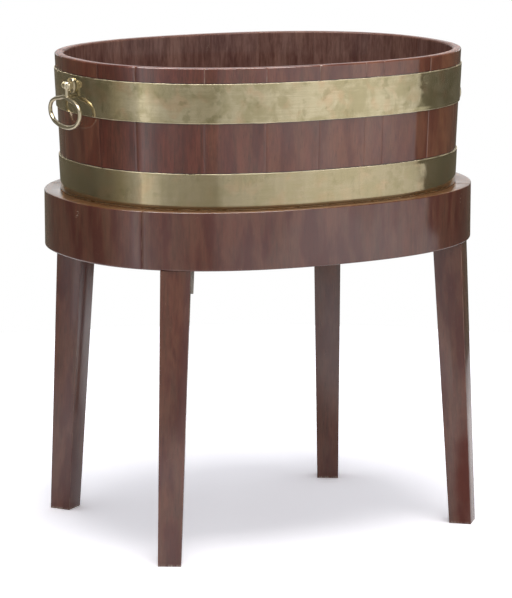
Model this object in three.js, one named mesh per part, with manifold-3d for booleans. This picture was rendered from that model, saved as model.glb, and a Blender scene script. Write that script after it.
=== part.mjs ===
// An oval brass-bound cellarette: a staved mahogany cooler that lifts out of a stand with a deep
// oval apron and four splayed legs. Millimetres, +Z up, +X along the oval's long axis, the front
// faces -Y, and the origin lies on the floor under the middle of the oval.
import * as THREE from 'three';
import { mergeVertices } from 'three/addons/utils/BufferGeometryUtils.js';
import Module from 'manifold-3d';

const wasm = await Module();
wasm.setup();

// Driving dimensions of the ovals. The cooler is measured where it enters the stand.
const coolerHalfLength = 280;
const coolerHalfDepth = 219;
const ledgeEndWidth = 24.2;
const ledgeSideWidth = 18.2;
const ovalPower = 2.33;
const staveSlopeShare = 0.043;

// Heights
const standTop = 481.5;
const apronHeight = 79;
const coolerRise = 190.5;
const coolerSeatDepth = 30;

// Cooler
const staveThickness = 12.5;
const rimRounding = 3;
const chimeHeight = 14;
const chimeBevel = 3;
const boardThickness = 12;
const boardCount = 3;
const crozeDepth = 4;
const hoopThickness = 1.6;
const hoopEdgeBreak = 0.5;
const upperHoopDrop = 21;
const upperHoopWidth = 53;
const lowerHoopLift = 0.9;
const lowerHoopWidth = 48.1;

// Where the joints between the staves fall round the oval, anticlockwise from the right end
const staveJointTurnShares = [
  0.014, 0.067, 0.12, 0.172, 0.225, 0.281, 0.331, 0.383, 0.43, 0.475,
  0.534, 0.571, 0.625, 0.676, 0.728, 0.779, 0.8, 0.857, 0.907, 0.964,
];

// Stand
const railJointTurnShare = 0.082;
const apronTopRounding = 1.8;
const apronFootRounding = 2.5;
const bearerWidth = 45;
const bearerThickness = 20;
const bearerSpacing = 190;

// Legs. Each was set by hand and one has sunk inwards: the place round the oval, the twist off square
// to the apron and the swing of the splay off the radius are shares of a turn.
const legTopSize = 40.6;
const legFootSize = 31.5;
const legEdgeRounding = 2;
const legRecess = 2.5;
const legSplay = 22;
const legStances = {
  front_left_leg: {
    sides: [-1, -1], placeShare: 0.1048, twistShare: 0.025, splayShare: 1.06, swingShare: 0,
  },
  front_right_leg: {
    sides: [1, -1], placeShare: 0.0962, twistShare: -0.011, splayShare: 1.18, swingShare: 0.083,
  },
  back_left_leg: {
    sides: [-1, 1], placeShare: 0.1082, twistShare: 0.007, splayShare: 0.97, swingShare: -0.015,
  },
  back_right_leg: {
    sides: [1, 1], placeShare: 0.1107, twistShare: 0.014, splayShare: -0.62, swingShare: 0.087,
  },
};
const kneeBlockDepth = 27;
const kneeBlockToe = 2;
const kneeBlockRise = 36;
const kneeBlockDrop = 40;

// Handles
const knuckleDrop = 35.5;
const knuckleRadius = 5.6;
const knuckleStandoff = 8.2;
const neckRadius = 2.8;
const bailHalfWidth = 47;
const bailSideShift = -7;
const bailDrop = 57.5;
const bailTopRadius = 2.5;
const bailFootRadius = 3.1;
const roseRadius = 11.3;
const roseThickness = 1.8;
const roseRimHeight = 2.7;
const roseRimWidth = 2;
const cheekThickness = 2.4;
const cheekRadius = 4.6;
const pinRadius = 1.5;
const pinHeadRadius = 2.6;
const pinHeadThickness = 1.1;

// One half of the bail's centre line: shares of its half width and of its drop
const bailLoopShares = [
  [0, 0.28], [0.31, 0.325], [0.69, 0.385], [0.95, 0.51], [1, 0.68], [0.84, 0.85], [0.49, 0.96], [0, 1],
];

// Clearances
const fitGap = 0.3;
const seatClearance = 0.8;
const pinClearance = 0.2;
const cheekClearance = 0.4;
const overrun = 5;

// Facets
const ringFacet = 19;
const roundSteps = 3;
const turnSteps = 24;
const pinSteps = 12;
const bailSteps = 36;
const bailSides = 8;
const weldDistance = 0.001;

const fullTurn = 2 * Math.PI;
const wallTilt = Math.atan(staveSlopeShare);
const rimHeight = standTop + coolerRise;
const knuckleHeight = rimHeight - knuckleDrop;
const apronFoot = standTop - apronHeight;
const coolerFoot = standTop - coolerSeatDepth;
const seatHeight = coolerFoot - fitGap;

/** An oval whose points are found by their angle about the middle. */
class Oval {
  constructor(halfLength, halfDepth) {
    this.halfLength = halfLength;
    this.halfDepth = halfDepth;
  }

  /** Distance of the outline from the middle at an angle. */
  radius(angle) {
    const along = Math.abs(Math.cos(angle) / this.halfLength) ** ovalPower;
    const across = Math.abs(Math.sin(angle) / this.halfDepth) ** ovalPower;
    return (along + across) ** (-1 / ovalPower);
  }

  /** Outward unit normal of the outline at an angle. */
  normal(angle) {
    const radius = this.radius(angle);
    const x = radius * Math.cos(angle);
    const y = radius * Math.sin(angle);
    const along = Math.sign(x) * Math.abs(x / this.halfLength) ** (ovalPower - 1) / this.halfLength;
    const across = Math.sign(y) * Math.abs(y / this.halfDepth) ** (ovalPower - 1) / this.halfDepth;
    return new THREE.Vector3(along, across, 0).normalize();
  }

  /** Point of the outline, moved out along its normal and lifted to a height. */
  point(angle, offset, height) {
    const radius = this.radius(angle);
    const point = new THREE.Vector3(radius * Math.cos(angle), radius * Math.sin(angle), height);
    return point.addScaledVector(this.normal(angle), offset);
  }
}

const coolerOval = new Oval(coolerHalfLength, coolerHalfDepth);
const standOval = new Oval(
  coolerHalfLength + seatClearance + ledgeEndWidth,
  coolerHalfDepth + seatClearance + ledgeSideWidth,
);

/** How far the cooler's outer face stands outside its oval at a height. */
const flare = (height) => staveSlopeShare * (height - standTop);

/** Closed geometry with welded corners, no slivers and its faces pointing out. */
function closedGeometry(geometry) {
  const bare = new THREE.BufferGeometry();
  bare.setAttribute('position', geometry.getAttribute('position'));
  bare.setIndex(geometry.getIndex());
  const welded = mergeVertices(bare, weldDistance);
  const corners = welded.getIndex().array;
  const kept = [];
  let volume = 0;
  const [a, b, c] = [new THREE.Vector3(), new THREE.Vector3(), new THREE.Vector3()];
  for (let i = 0; i < corners.length; i += 3) {
    const face = [corners[i], corners[i + 1], corners[i + 2]];
    if (new Set(face).size < face.length) continue;
    kept.push(face);
    [a, b, c].forEach((corner, k) => corner.fromBufferAttribute(welded.getAttribute('position'), face[k]));
    volume += a.dot(b.cross(c));
  }
  welded.setIndex(kept.flatMap((face) => (volume < 0 ? face.reverse() : face)));
  return welded;
}

/** Triangles that fill a loop of points which lie near one plane. */
function fillLoop(loop) {
  const normal = new THREE.Vector3();
  loop.forEach((point, i) => normal.add(point.clone().cross(loop[(i + 1) % loop.length])));
  const turn = new THREE.Quaternion().setFromUnitVectors(normal.normalize(), new THREE.Vector3(0, 0, 1));
  const flat = loop.map((point) => point.clone().applyQuaternion(turn));
  return THREE.ShapeUtils.triangulateShape(flat.map((point) => new THREE.Vector2(point.x, point.y)), []);
}

/** Solid skinned over equal loops of points: a ring, or a run with both ends filled. */
function loft(loops, isRing) {
  const size = loops[0].length;
  const spans = isRing ? loops.length : loops.length - 1;
  const faces = [];
  for (let i = 0; i < spans; i += 1) {
    const here = i * size;
    const there = ((i + 1) % loops.length) * size;
    for (let j = 0; j < size; j += 1) {
      const next = (j + 1) % size;
      faces.push(here + j, here + next, there + next, here + j, there + next, there + j);
    }
  }
  if (!isRing) {
    const last = (loops.length - 1) * size;
    fillLoop(loops[0]).forEach(([a, b, c]) => faces.push(c, b, a));
    fillLoop(loops[0]).forEach(([a, b, c]) => faces.push(last + a, last + b, last + c));
  }
  const geometry = new THREE.BufferGeometry().setFromPoints(loops.flat());
  geometry.setIndex(faces);
  return closedGeometry(geometry);
}

/** Turns closed geometry into a solid for joining and cutting. */
function toSolid(geometry) {
  const closed = closedGeometry(geometry);
  const mesh = new wasm.Mesh({
    numProp: 3,
    vertProperties: new Float32Array(closed.getAttribute('position').array),
    triVerts: new Uint32Array(closed.getIndex().array),
  });
  return new wasm.Manifold(mesh);
}

/** Turns a joined or cut solid back into geometry. */
function toGeometry(solid) {
  const mesh = solid.getMesh();
  const geometry = new THREE.BufferGeometry();
  geometry.setAttribute('position', new THREE.BufferAttribute(mesh.vertProperties, 3));
  geometry.setIndex(new THREE.BufferAttribute(mesh.triVerts, 1));
  return geometry;
}

/** Points of a quarter round, each an offset and a height. */
function quarterRound(centreOffset, centreHeight, radius, startQuarter) {
  const points = [];
  for (let i = 0; i <= roundSteps; i += 1) {
    const angle = (startQuarter + i / roundSteps) * fullTurn / 4;
    points.push([centreOffset + radius * Math.cos(angle), centreHeight + radius * Math.sin(angle)]);
  }
  return points;
}

/** Angles from one joint to the next, with about one facet length between them. */
function facetAngles(oval, start, end) {
  const arc = (end - start) * oval.radius((start + end) / 2);
  const steps = Math.max(2, Math.ceil(arc / ringFacet));
  return Array.from({ length: steps + 1 }, (_, i) => start + (end - start) * i / steps);
}

/** Angles from joint to joint, drawn in by half the fitting gap at both ends. */
function pieceAngles(oval, start, end) {
  const angles = facetAngles(oval, start, end);
  angles[0] += fitGap / 2 / oval.radius(start);
  angles[angles.length - 1] -= fitGap / 2 / oval.radius(end);
  return angles;
}

/** Start and end angle of each piece between joints given as shares of a turn. */
function turnSpans(shares) {
  return shares.map((share, i) => {
    const next = i + 1 < shares.length ? shares[i + 1] : shares[0] + 1;
    return [share * fullTurn, next * fullTurn];
  });
}

const staveSpans = turnSpans(staveJointTurnShares);
const coolerAngles = staveSpans.flatMap(([start, end]) => facetAngles(coolerOval, start, end).slice(0, -1));

const railSpans = {
  right_rail: [-railJointTurnShare, railJointTurnShare],
  back_rail: [railJointTurnShare, 0.5 - railJointTurnShare],
  left_rail: [0.5 - railJointTurnShare, 0.5 + railJointTurnShare],
  front_rail: [0.5 + railJointTurnShare, 1 - railJointTurnShare],
};
const apronAngles = Object.values(railSpans).flatMap(([start, end]) => (
  facetAngles(standOval, start * fullTurn, end * fullTurn).slice(0, -1)
));

/** Loop of the cooler's wall at an angle, from a profile of offsets and heights. */
function coolerLoop(profile, angle) {
  return profile.map(([offset, height]) => coolerOval.point(angle, offset + flare(height), height));
}

/** Upright oval prism that follows the apron's inner face, drawn in by a gap. */
function apronCore(bottom, top, gap) {
  const loops = [bottom, top].map((height) => (
    apronAngles.map((angle) => coolerOval.point(angle, seatClearance - gap, height))
  ));
  return toSolid(loft(loops, false));
}

/** Box solid between two corners. */
function boxSolid(low, high) {
  const size = high.clone().sub(low);
  const geometry = new THREE.BoxGeometry(size.x, size.y, size.z);
  geometry.translate(...low.clone().add(high).divideScalar(2).toArray());
  return toSolid(geometry);
}

/** A stave: rounded rim, croze for the bottom boards and a bevelled chime. */
function staveGeometry(start, end) {
  const boardFoot = coolerFoot + chimeHeight;
  const profile = [
    [-staveThickness + chimeBevel, coolerFoot],
    [0, coolerFoot],
    ...quarterRound(-rimRounding, rimHeight - rimRounding, rimRounding, 0),
    ...quarterRound(rimRounding - staveThickness, rimHeight - rimRounding, rimRounding, 1),
    [-staveThickness, boardFoot + boardThickness + fitGap],
    [crozeDepth - staveThickness, boardFoot + boardThickness + fitGap],
    [crozeDepth - staveThickness, boardFoot - fitGap],
    [-staveThickness, boardFoot - fitGap],
    [-staveThickness, coolerFoot + chimeBevel],
  ];
  return loft(pieceAngles(coolerOval, start, end).map((angle) => coolerLoop(profile, angle)), false);
}

/** A brass hoop that grips the staves. */
function hoopGeometry(bottom, width) {
  const top = bottom + width;
  const face = fitGap + hoopThickness;
  const profile = [
    [fitGap, bottom], [face - hoopEdgeBreak, bottom], [face, bottom + hoopEdgeBreak],
    [face, top - hoopEdgeBreak], [face - hoopEdgeBreak, top], [fitGap, top],
  ];
  return loft(coolerAngles.map((angle) => coolerLoop(profile, angle)), true);
}

/** The bottom boards, sawn from one oval panel that sits in the croze. */
function boardGeometries() {
  const foot = coolerFoot + chimeHeight;
  const edge = crozeDepth - staveThickness - fitGap + flare(foot);
  const outline = coolerAngles.map((angle) => coolerOval.point(angle, edge, 0));
  const panel = new THREE.ExtrudeGeometry(
    new THREE.Shape(outline.map((point) => new THREE.Vector2(point.x, point.y))),
    { depth: boardThickness, bevelEnabled: false },
  );
  panel.translate(0, 0, foot);
  const panelSolid = toSolid(panel);
  const reach = coolerHalfLength + overrun;
  const span = 2 * (coolerHalfDepth + edge);
  const boardWidth = span / boardCount;
  return Array.from({ length: boardCount }, (_, i) => {
    const isFirst = i === 0;
    const isLast = i === boardCount - 1;
    const low = -span / 2 + i * boardWidth + (isFirst ? -overrun : fitGap / 2);
    const high = -span / 2 + (i + 1) * boardWidth + (isLast ? overrun : -fitGap / 2);
    const saw = boxSolid(
      new THREE.Vector3(-reach, low, foot - overrun),
      new THREE.Vector3(reach, high, foot + boardThickness + overrun),
    );
    return toGeometry(panelSolid.intersect(saw));
  });
}

/** One curved rail of the apron, rounded at its top and foot, with its inner face round the cooler. */
function railGeometry(start, end) {
  const outer = [
    ...quarterRound(-apronFootRounding, apronFoot + apronFootRounding, apronFootRounding, -1),
    ...quarterRound(-apronTopRounding, standTop - apronTopRounding, apronTopRounding, 0),
  ];
  const loops = pieceAngles(standOval, start * fullTurn, end * fullTurn).map((angle) => [
    ...outer.map(([offset, height]) => standOval.point(angle, offset, height)),
    coolerOval.point(angle, seatClearance, standTop),
    coolerOval.point(angle, seatClearance, apronFoot),
  ]);
  return loft(loops, false);
}

/** A cross bearer under the cooler, its ends scribed to the apron. */
function bearerGeometry(side) {
  const middle = side * bearerSpacing / 2;
  const bar = boxSolid(
    new THREE.Vector3(middle - bearerWidth / 2, -coolerHalfDepth - overrun, seatHeight - bearerThickness),
    new THREE.Vector3(middle + bearerWidth / 2, coolerHalfDepth + overrun, seatHeight),
  );
  const core = apronCore(seatHeight - bearerThickness - overrun, seatHeight + overrun, fitGap);
  return toGeometry(bar.intersect(core));
}

/** Place, outward direction and size of a leg at a height. It splays and tapers below the apron. */
function legSection({ sides, placeShare, twistShare, splayShare, swingShare }, height) {
  const upright = new THREE.Vector3(0, 0, 1);
  const angle = placeShare * fullTurn;
  const outward = standOval.normal(angle).clone().applyAxisAngle(upright, twistShare * fullTurn);
  const top = standOval.point(angle, -legRecess - legTopSize / 2, 0);
  const drop = Math.max((apronFoot - height) / apronFoot, 0);
  const away = top.clone().normalize().applyAxisAngle(upright, swingShare * fullTurn);
  const centre = top.clone().addScaledVector(away, legSplay * splayShare * drop);
  const mirror = new THREE.Vector3(...sides, 1);
  return {
    centre: centre.multiply(mirror).setZ(height),
    outward: outward.multiply(mirror),
    size: legTopSize + (legFootSize - legTopSize) * drop,
  };
}

/** Horizontal outline of a leg: a square with rounded edges. */
function legLoop({ centre, outward, size }) {
  const sideways = new THREE.Vector3(-outward.y, outward.x, 0);
  const half = size / 2 - legEdgeRounding;
  const corners = [[1, 1], [-1, 1], [-1, -1], [1, -1]];
  return corners.flatMap(([out, side], quarter) => (
    quarterRound(out * half, side * half, legEdgeRounding, quarter).map(([along, across]) => (
      centre.clone().addScaledVector(outward, along).addScaledVector(sideways, across)
    ))
  ));
}

/** A splayed, tapered leg. Its shoulder meets the apron's foot and a tongue runs up behind it. */
function legGeometry(stance) {
  const loops = [0, apronFoot, seatHeight].map((height) => legLoop(legSection(stance, height)));
  const post = toSolid(loft(loops, false));
  const shoulder = apronFoot - fitGap;
  const reach = new THREE.Vector3(standOval.halfLength, standOval.halfDepth, 0).addScalar(overrun);
  const block = boxSolid(
    new THREE.Vector3(-reach.x, -reach.y, shoulder),
    new THREE.Vector3(reach.x, reach.y, standTop),
  );
  const apronRoom = block.subtract(apronCore(shoulder - overrun, standTop + overrun, fitGap));
  return toGeometry(post.subtract(apronRoom));
}

/** The block glued into the corner behind the front left leg, tapering below the apron. */
function kneeBlockGeometry() {
  const steps = [
    [apronFoot - kneeBlockDrop, kneeBlockToe],
    [apronFoot - fitGap, kneeBlockDepth],
    [apronFoot + kneeBlockRise, kneeBlockDepth],
  ];
  const loops = steps.map(([height, depth]) => {
    const { centre, outward, size } = legSection(legStances.front_left_leg, height);
    const sideways = new THREE.Vector3(-outward.y, outward.x, 0);
    const [face, side] = [-size / 2 - fitGap, size / 2];
    const corners = [[face, side], [face, -side], [face - depth, -side], [face - depth, side]];
    return corners.map(([along, across]) => (
      centre.clone().addScaledVector(outward, along).addScaledVector(sideways, across)
    ));
  });
  return loft(loops, false);
}

/** Round bar across the handle, from side to side through its pivot. */
function crossBar(radius, halfLength) {
  return new THREE.CylinderGeometry(radius, radius, 2 * halfLength, pinSteps);
}

/** Half the width between the outer faces of the bracket's cheeks. */
const cheekReach = knuckleRadius + cheekClearance + cheekThickness;

/** Cast bracket: a dished rose with two cheeks that carry the pin. Its pivot is at the origin. */
function bracketGeometry() {
  const back = -knuckleStandoff;
  const rimFoot = roseThickness;
  const profile = [
    [0, 0], [roseRadius, 0], [roseRadius, rimFoot],
    [roseRadius - roseRimWidth / 2, roseRimHeight], [roseRadius - roseRimWidth, rimFoot], [0, rimFoot],
  ];
  const rose = new THREE.LatheGeometry(profile.map(([x, y]) => new THREE.Vector2(x, y)), turnSteps);
  rose.rotateZ(-fullTurn / 4).translate(back, 0, 0);
  let bracket = toSolid(rose);
  for (const side of [-1, 1]) {
    const shape = new THREE.Shape();
    shape.moveTo(back + roseThickness / 2, -cheekRadius);
    shape.lineTo(0, -cheekRadius);
    shape.absarc(0, 0, cheekRadius, -fullTurn / 4, fullTurn / 4, false);
    shape.lineTo(back + roseThickness / 2, cheekRadius);
    const cheek = new THREE.ExtrudeGeometry(shape, {
      depth: cheekThickness, bevelEnabled: false, curveSegments: pinSteps,
    });
    const middle = side * (cheekReach - cheekThickness / 2);
    cheek.rotateX(fullTurn / 4).translate(0, middle + cheekThickness / 2, 0);
    bracket = bracket.add(toSolid(cheek));
  }
  const hole = toSolid(crossBar(pinRadius + pinClearance, cheekReach + overrun));
  return toGeometry(bracket.subtract(hole));
}

/** Pin with a riveted head at each end, along the handle's pivot. */
function pinGeometry() {
  const shank = cheekReach + fitGap;
  const end = shank + pinHeadThickness;
  const profile = [
    [0, -end], [pinHeadRadius, -end], [pinHeadRadius, -shank], [pinRadius, -shank],
    [pinRadius, shank], [pinHeadRadius, shank], [pinHeadRadius, end], [0, end],
  ];
  return closedGeometry(new THREE.LatheGeometry(profile.map(([x, y]) => new THREE.Vector2(x, y)), pinSteps));
}

/** Bail: a rounded loop, thickest at its foot, that hangs a little to one side from a ball knuckle. */
function bailGeometry() {
  const half = bailLoopShares.map(([across, down]) => (
    new THREE.Vector3(0, across * bailHalfWidth, -down * bailDrop)
  ));
  const mirrored = half.slice(1, -1).reverse().map((point) => new THREE.Vector3(0, -point.y, point.z));
  const shifted = [...half, ...mirrored].map((point) => point.clone().setY(point.y + bailSideShift));
  const path = new THREE.CatmullRomCurve3(shifted, true, 'centripetal');
  const outward = new THREE.Vector3(1, 0, 0);
  const loops = Array.from({ length: bailSteps }, (_, i) => {
    const middle = path.getPointAt(i / bailSteps);
    const inward = path.getTangentAt(i / bailSteps).cross(outward);
    const thickness = bailTopRadius + (bailFootRadius - bailTopRadius) * -middle.z / bailDrop;
    return Array.from({ length: bailSides }, (__, k) => {
      const turn = (k + 0.5) / bailSides * fullTurn;
      return middle.clone()
        .addScaledVector(outward, thickness * Math.cos(turn))
        .addScaledVector(inward, thickness * Math.sin(turn));
    });
  });
  const neckLength = -half[0].z;
  const neck = new THREE.CylinderGeometry(neckRadius, bailTopRadius, neckLength, pinSteps);
  neck.rotateX(fullTurn / 4).translate(0, 0, -neckLength / 2);
  const knuckle = new THREE.SphereGeometry(knuckleRadius, turnSteps / 2 + 2, pinSteps - 2);
  const bore = toSolid(crossBar(pinRadius + pinClearance, knuckleRadius + overrun));
  return toGeometry(toSolid(loft(loops, true)).add(toSolid(neck)).add(toSolid(knuckle)).subtract(bore));
}

// Finishes

const mahogany = () => new THREE.MeshStandardMaterial({ color: 0x5d3730, roughness: 0.32, metalness: 0 });
const standMahogany = () => new THREE.MeshStandardMaterial({ color: 0x6a4038, roughness: 0.3, metalness: 0 });
const hiddenWood = () => new THREE.MeshStandardMaterial({ color: 0x7a5a44, roughness: 0.8, metalness: 0 });
const paleWood = () => new THREE.MeshStandardMaterial({ color: 0xb5ada0, roughness: 0.8, metalness: 0 });
const agedBrass = () => new THREE.MeshStandardMaterial({ color: 0x948362, roughness: 0.3, metalness: 1 });
const castBrass = () => new THREE.MeshStandardMaterial({ color: 0xa8946a, roughness: 0.25, metalness: 1 });

/** Named mesh with its own material. */
function part(name, geometry, material) {
  const mesh = new THREE.Mesh(geometry, material);
  mesh.name = name;
  return mesh;
}

/** The cooler: staves, bottom boards and hoops. */
function buildCooler() {
  const cooler = new THREE.Group();
  staveSpans.forEach(([start, end], i) => {
    cooler.add(part(`stave_${String(i + 1).padStart(2, '0')}`, staveGeometry(start, end), mahogany()));
  });
  boardGeometries().forEach((geometry, i) => {
    cooler.add(part(`bottom_board_${i + 1}`, geometry, hiddenWood()));
  });
  const upperHoopFoot = rimHeight - upperHoopDrop - upperHoopWidth;
  cooler.add(part('upper_hoop', hoopGeometry(upperHoopFoot, upperHoopWidth), agedBrass()));
  cooler.add(part('lower_hoop', hoopGeometry(standTop + lowerHoopLift, lowerHoopWidth), agedBrass()));
  return cooler;
}

/** A handle on the upper hoop: the bracket and pin lean with the wall and the bail hangs plumb. */
function buildHandle(name, turn) {
  const hoopFace = coolerHalfLength + flare(knuckleHeight) + fitGap + hoopThickness;
  const reach = hoopFace + (fitGap + knuckleStandoff) / Math.cos(wallTilt);
  const handle = new THREE.Group();
  handle.rotation.z = turn;
  handle.position.set(reach * Math.cos(turn), reach * Math.sin(turn), knuckleHeight);
  const fixed = new THREE.Group();
  fixed.rotation.y = wallTilt;
  fixed.add(part(`${name}_bracket`, bracketGeometry(), castBrass()));
  fixed.add(part(`${name}_pin`, pinGeometry(), castBrass()));
  handle.add(fixed, part(`${name}_bail`, bailGeometry(), castBrass()));
  return handle;
}

/** The stand: four rails, four legs, two bearers and the knee block. */
function buildStand() {
  const stand = new THREE.Group();
  for (const [name, [start, end]] of Object.entries(railSpans)) {
    stand.add(part(name, railGeometry(start, end), standMahogany()));
  }
  for (const [name, stance] of Object.entries(legStances)) {
    stand.add(part(name, legGeometry(stance), standMahogany()));
  }
  stand.add(part('left_bearer', bearerGeometry(-1), hiddenWood()));
  stand.add(part('right_bearer', bearerGeometry(1), hiddenWood()));
  stand.add(part('knee_block', kneeBlockGeometry(), paleWood()));
  return stand;
}

const cellarette = new THREE.Group();
cellarette.add(buildStand(), buildCooler(), buildHandle('right', 0), buildHandle('left', fullTurn / 2));

export default cellarette;
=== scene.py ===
"""Looks of an oval, brass-bound cellarette: a coopered mahogany cooler that stands in its own frame.

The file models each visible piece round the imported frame, gives every piece its finish, and sets up
a plain studio with the camera of the reference view. Lengths are in metres.
"""

import logging
import math
from bisect import bisect_right
from collections.abc import Callable, Sequence
from dataclasses import dataclass
from enum import Enum
from functools import reduce

import bmesh
import bpy
from mathutils import Matrix, Vector


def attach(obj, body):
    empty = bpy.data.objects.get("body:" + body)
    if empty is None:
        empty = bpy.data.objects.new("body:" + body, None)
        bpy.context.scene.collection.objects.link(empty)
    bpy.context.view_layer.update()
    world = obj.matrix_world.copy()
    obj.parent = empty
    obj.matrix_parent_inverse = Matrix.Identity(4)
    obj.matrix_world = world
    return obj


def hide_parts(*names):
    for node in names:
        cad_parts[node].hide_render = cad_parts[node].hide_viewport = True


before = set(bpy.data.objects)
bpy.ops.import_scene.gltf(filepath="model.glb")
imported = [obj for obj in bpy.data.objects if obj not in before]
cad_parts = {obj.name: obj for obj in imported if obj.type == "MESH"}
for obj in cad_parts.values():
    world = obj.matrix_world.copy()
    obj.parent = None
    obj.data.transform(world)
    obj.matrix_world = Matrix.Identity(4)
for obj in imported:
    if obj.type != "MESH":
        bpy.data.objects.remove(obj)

LOG = logging.getLogger("cellarette")
MM = 0.001
FULL_TURN = 2 * math.pi
# How much further out the tub's wall stands for each step up.
WALL_SLOPE = 0.043
# Corners closer than this to a plane count as on it, and closer than this to each other as one.
NEAR = 0.1 * MM
WELDED = 0.02 * MM
# How nearly an edge has to run along X, and a face has to look along an axis, to be picked.
ALONG = 0.999
FACING = 0.9
ROUNDING_STEPS = 6
# How far apart, along X, the patterns of two neighbouring seeds lie.
GRAIN_SHIFT = 0.731

Piece = bpy.types.Object
Socket = bpy.types.NodeSocket
Colour = tuple[float, float, float, float]
Span = tuple[float, float]
Effect = Callable[["Web", Socket], dict[str, Socket]]


def paint(red: float, green: float, blue: float) -> Colour:
    """Turns a colour as seen on a screen into the shader's linear colour.

    Args:
        red: Red from 0 to 255.
        green: Green from 0 to 255.
        blue: Blue from 0 to 255.

    Returns:
        The linear colour with an alpha of 1.
    """

    def linear(level: float) -> float:
        """Linear light of one level."""
        share = level / 255
        return share / 12.92 if share <= 0.04045 else ((share + 0.055) / 1.055) ** 2.4

    return linear(red), linear(green), linear(blue), 1.0


class Axis(Enum):
    """The way the grain runs, as the pattern's stretch along X, Y and Z."""

    LENGTHWISE = (0.06, 1.0, 1.0)
    CROSSWISE = (1.0, 0.06, 1.0)
    UPRIGHT = (1.0, 1.0, 0.06)


class Bench:
    """Modelling steps that work on one piece at a time, as by hand."""

    @staticmethod
    def clear() -> None:
        """Leaves edit mode and deselects every object."""
        if bpy.context.object and bpy.context.object.mode != "OBJECT":
            bpy.ops.object.mode_set(mode="OBJECT")
        bpy.ops.object.select_all(action="DESELECT")

    @staticmethod
    def take(piece: Piece) -> None:
        """Selects one piece alone and makes it active.

        Args:
            piece: The piece.
        """
        Bench.clear()
        piece.select_set(True)
        bpy.context.view_layer.objects.active = piece

    @staticmethod
    def settle(piece: Piece) -> None:
        """Moves a piece's place, turn and scale into its mesh."""
        Bench.take(piece)
        bpy.ops.object.transform_apply(location=True, rotation=True, scale=True)

    @staticmethod
    def added(name: str) -> Piece:
        """Names the active piece and settles it.

        Args:
            name: Its name.

        Returns:
            The piece.
        """
        piece = bpy.context.object
        piece.name = piece.data.name = name
        Bench.settle(piece)
        return piece

    @staticmethod
    def add(name: str, maker: Callable[..., object], scale: Sequence[float] = (1, 1, 1),
            **settings: object) -> Piece:
        """Adds a plain form.

        Args:
            name: Name of the new piece.
            maker: The step that adds the form.
            scale: Its scale.
            **settings: Settings of that step.

        Returns:
            The piece.
        """
        Bench.clear()
        maker(**settings)
        bpy.context.object.scale = scale
        return Bench.added(name)

    @staticmethod
    def block(name: str, low: Sequence[float], high: Sequence[float]) -> Piece:
        """Adds a block between its lowest and its highest corner."""
        middle, sizes = zip(*(((a + b) / 2, b - a) for a, b in zip(low, high)))
        return Bench.add(name, bpy.ops.mesh.primitive_cube_add, sizes, size=1, location=middle)

    @staticmethod
    def section(name: str, inner: float, outer: float, foot: float, top: float) -> Piece:
        """Adds an upright rectangle at X = 0, the first cut end of a length of work."""
        return Bench.add(name, bpy.ops.mesh.primitive_plane_add, (top - foot, outer - inner, 1), size=1,
                         rotation=(0, math.pi / 2, 0), location=(0, (inner + outer) / 2, (foot + top) / 2))

    @staticmethod
    def edit(piece: Piece) -> None:
        """Opens a piece in edit mode."""
        Bench.take(piece)
        bpy.ops.object.mode_set(mode="EDIT")

    @staticmethod
    def leave() -> None:
        """Closes edit mode."""
        bpy.ops.object.mode_set(mode="OBJECT")

    @staticmethod
    def pick(piece: Piece, kind: str, test: Callable[..., bool]) -> None:
        """Selects the corners, edges or faces that pass a test, and nothing else.

        Args:
            piece: The piece that is open in edit mode.
            kind: VERT, EDGE or FACE.
            test: Takes one element and says whether it is picked.
        """
        bpy.ops.mesh.select_mode(type=kind)
        mesh = bmesh.from_edit_mesh(piece.data)
        for element in (*mesh.verts, *mesh.edges, *mesh.faces):
            element.select_set(False)
        for element in filter(test, {"VERT": mesh.verts, "EDGE": mesh.edges, "FACE": mesh.faces}[kind]):
            element.select_set(True)
        mesh.select_flush_mode()
        bmesh.update_edit_mesh(piece.data)

    @staticmethod
    def pull(x: float, y: float, z: float) -> None:
        """Extrudes what is selected by a step."""
        bpy.ops.mesh.extrude_region_move(TRANSFORM_OT_translate={"value": (x, y, z)})

    @staticmethod
    def cut(point: Sequence[float], normal: Sequence[float]) -> None:
        """Saws through all of the open piece along a plane, and keeps both sides joined."""
        bpy.ops.mesh.select_all(action="SELECT")
        bpy.ops.mesh.bisect(plane_co=point, plane_no=normal, use_fill=False)

    @staticmethod
    def run(piece: Piece, low: float, high: float, passes: Sequence[int]) -> None:
        """Pulls a section out along X into a length of work, in even steps.

        Args:
            piece: The section, open in edit mode.
            low: X where the work starts.
            high: X where it ends.
            passes: Number of cuts in each pass of subdivision.
        """
        bpy.ops.mesh.select_mode(type="FACE")
        bpy.ops.mesh.select_all(action="SELECT")
        if len(bmesh.from_edit_mesh(piece.data).faces) > 1:
            bpy.ops.mesh.dissolve_faces()
            bpy.ops.mesh.select_all(action="SELECT")
        Bench.pull(high - low, 0, 0)
        for cuts in passes:
            Bench.pick(piece, "EDGE", lambda e: abs((e.verts[0].co - e.verts[1].co).normalized().x) > ALONG)
            bpy.ops.mesh.subdivide(number_cuts=cuts)
        Bench.face_out()
        bpy.ops.transform.translate(value=(low, 0, 0))

    @staticmethod
    def face_out() -> None:
        """Turns the faces of the open piece outwards."""
        bpy.ops.mesh.select_all(action="SELECT")
        bpy.ops.mesh.normals_make_consistent(inside=False)

    @staticmethod
    def finish(piece: Piece, kind: str, **settings: object) -> None:
        """Adds a modifier and applies it.

        Args:
            piece: The piece to change.
            kind: The modifier's type.
            **settings: Values of the modifier.
        """
        Bench.take(piece)
        modifier = piece.modifiers.new(kind.title(), kind)
        for key, value in settings.items():
            setattr(modifier, key, value)
        bpy.ops.object.modifier_apply(modifier=modifier.name)

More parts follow.
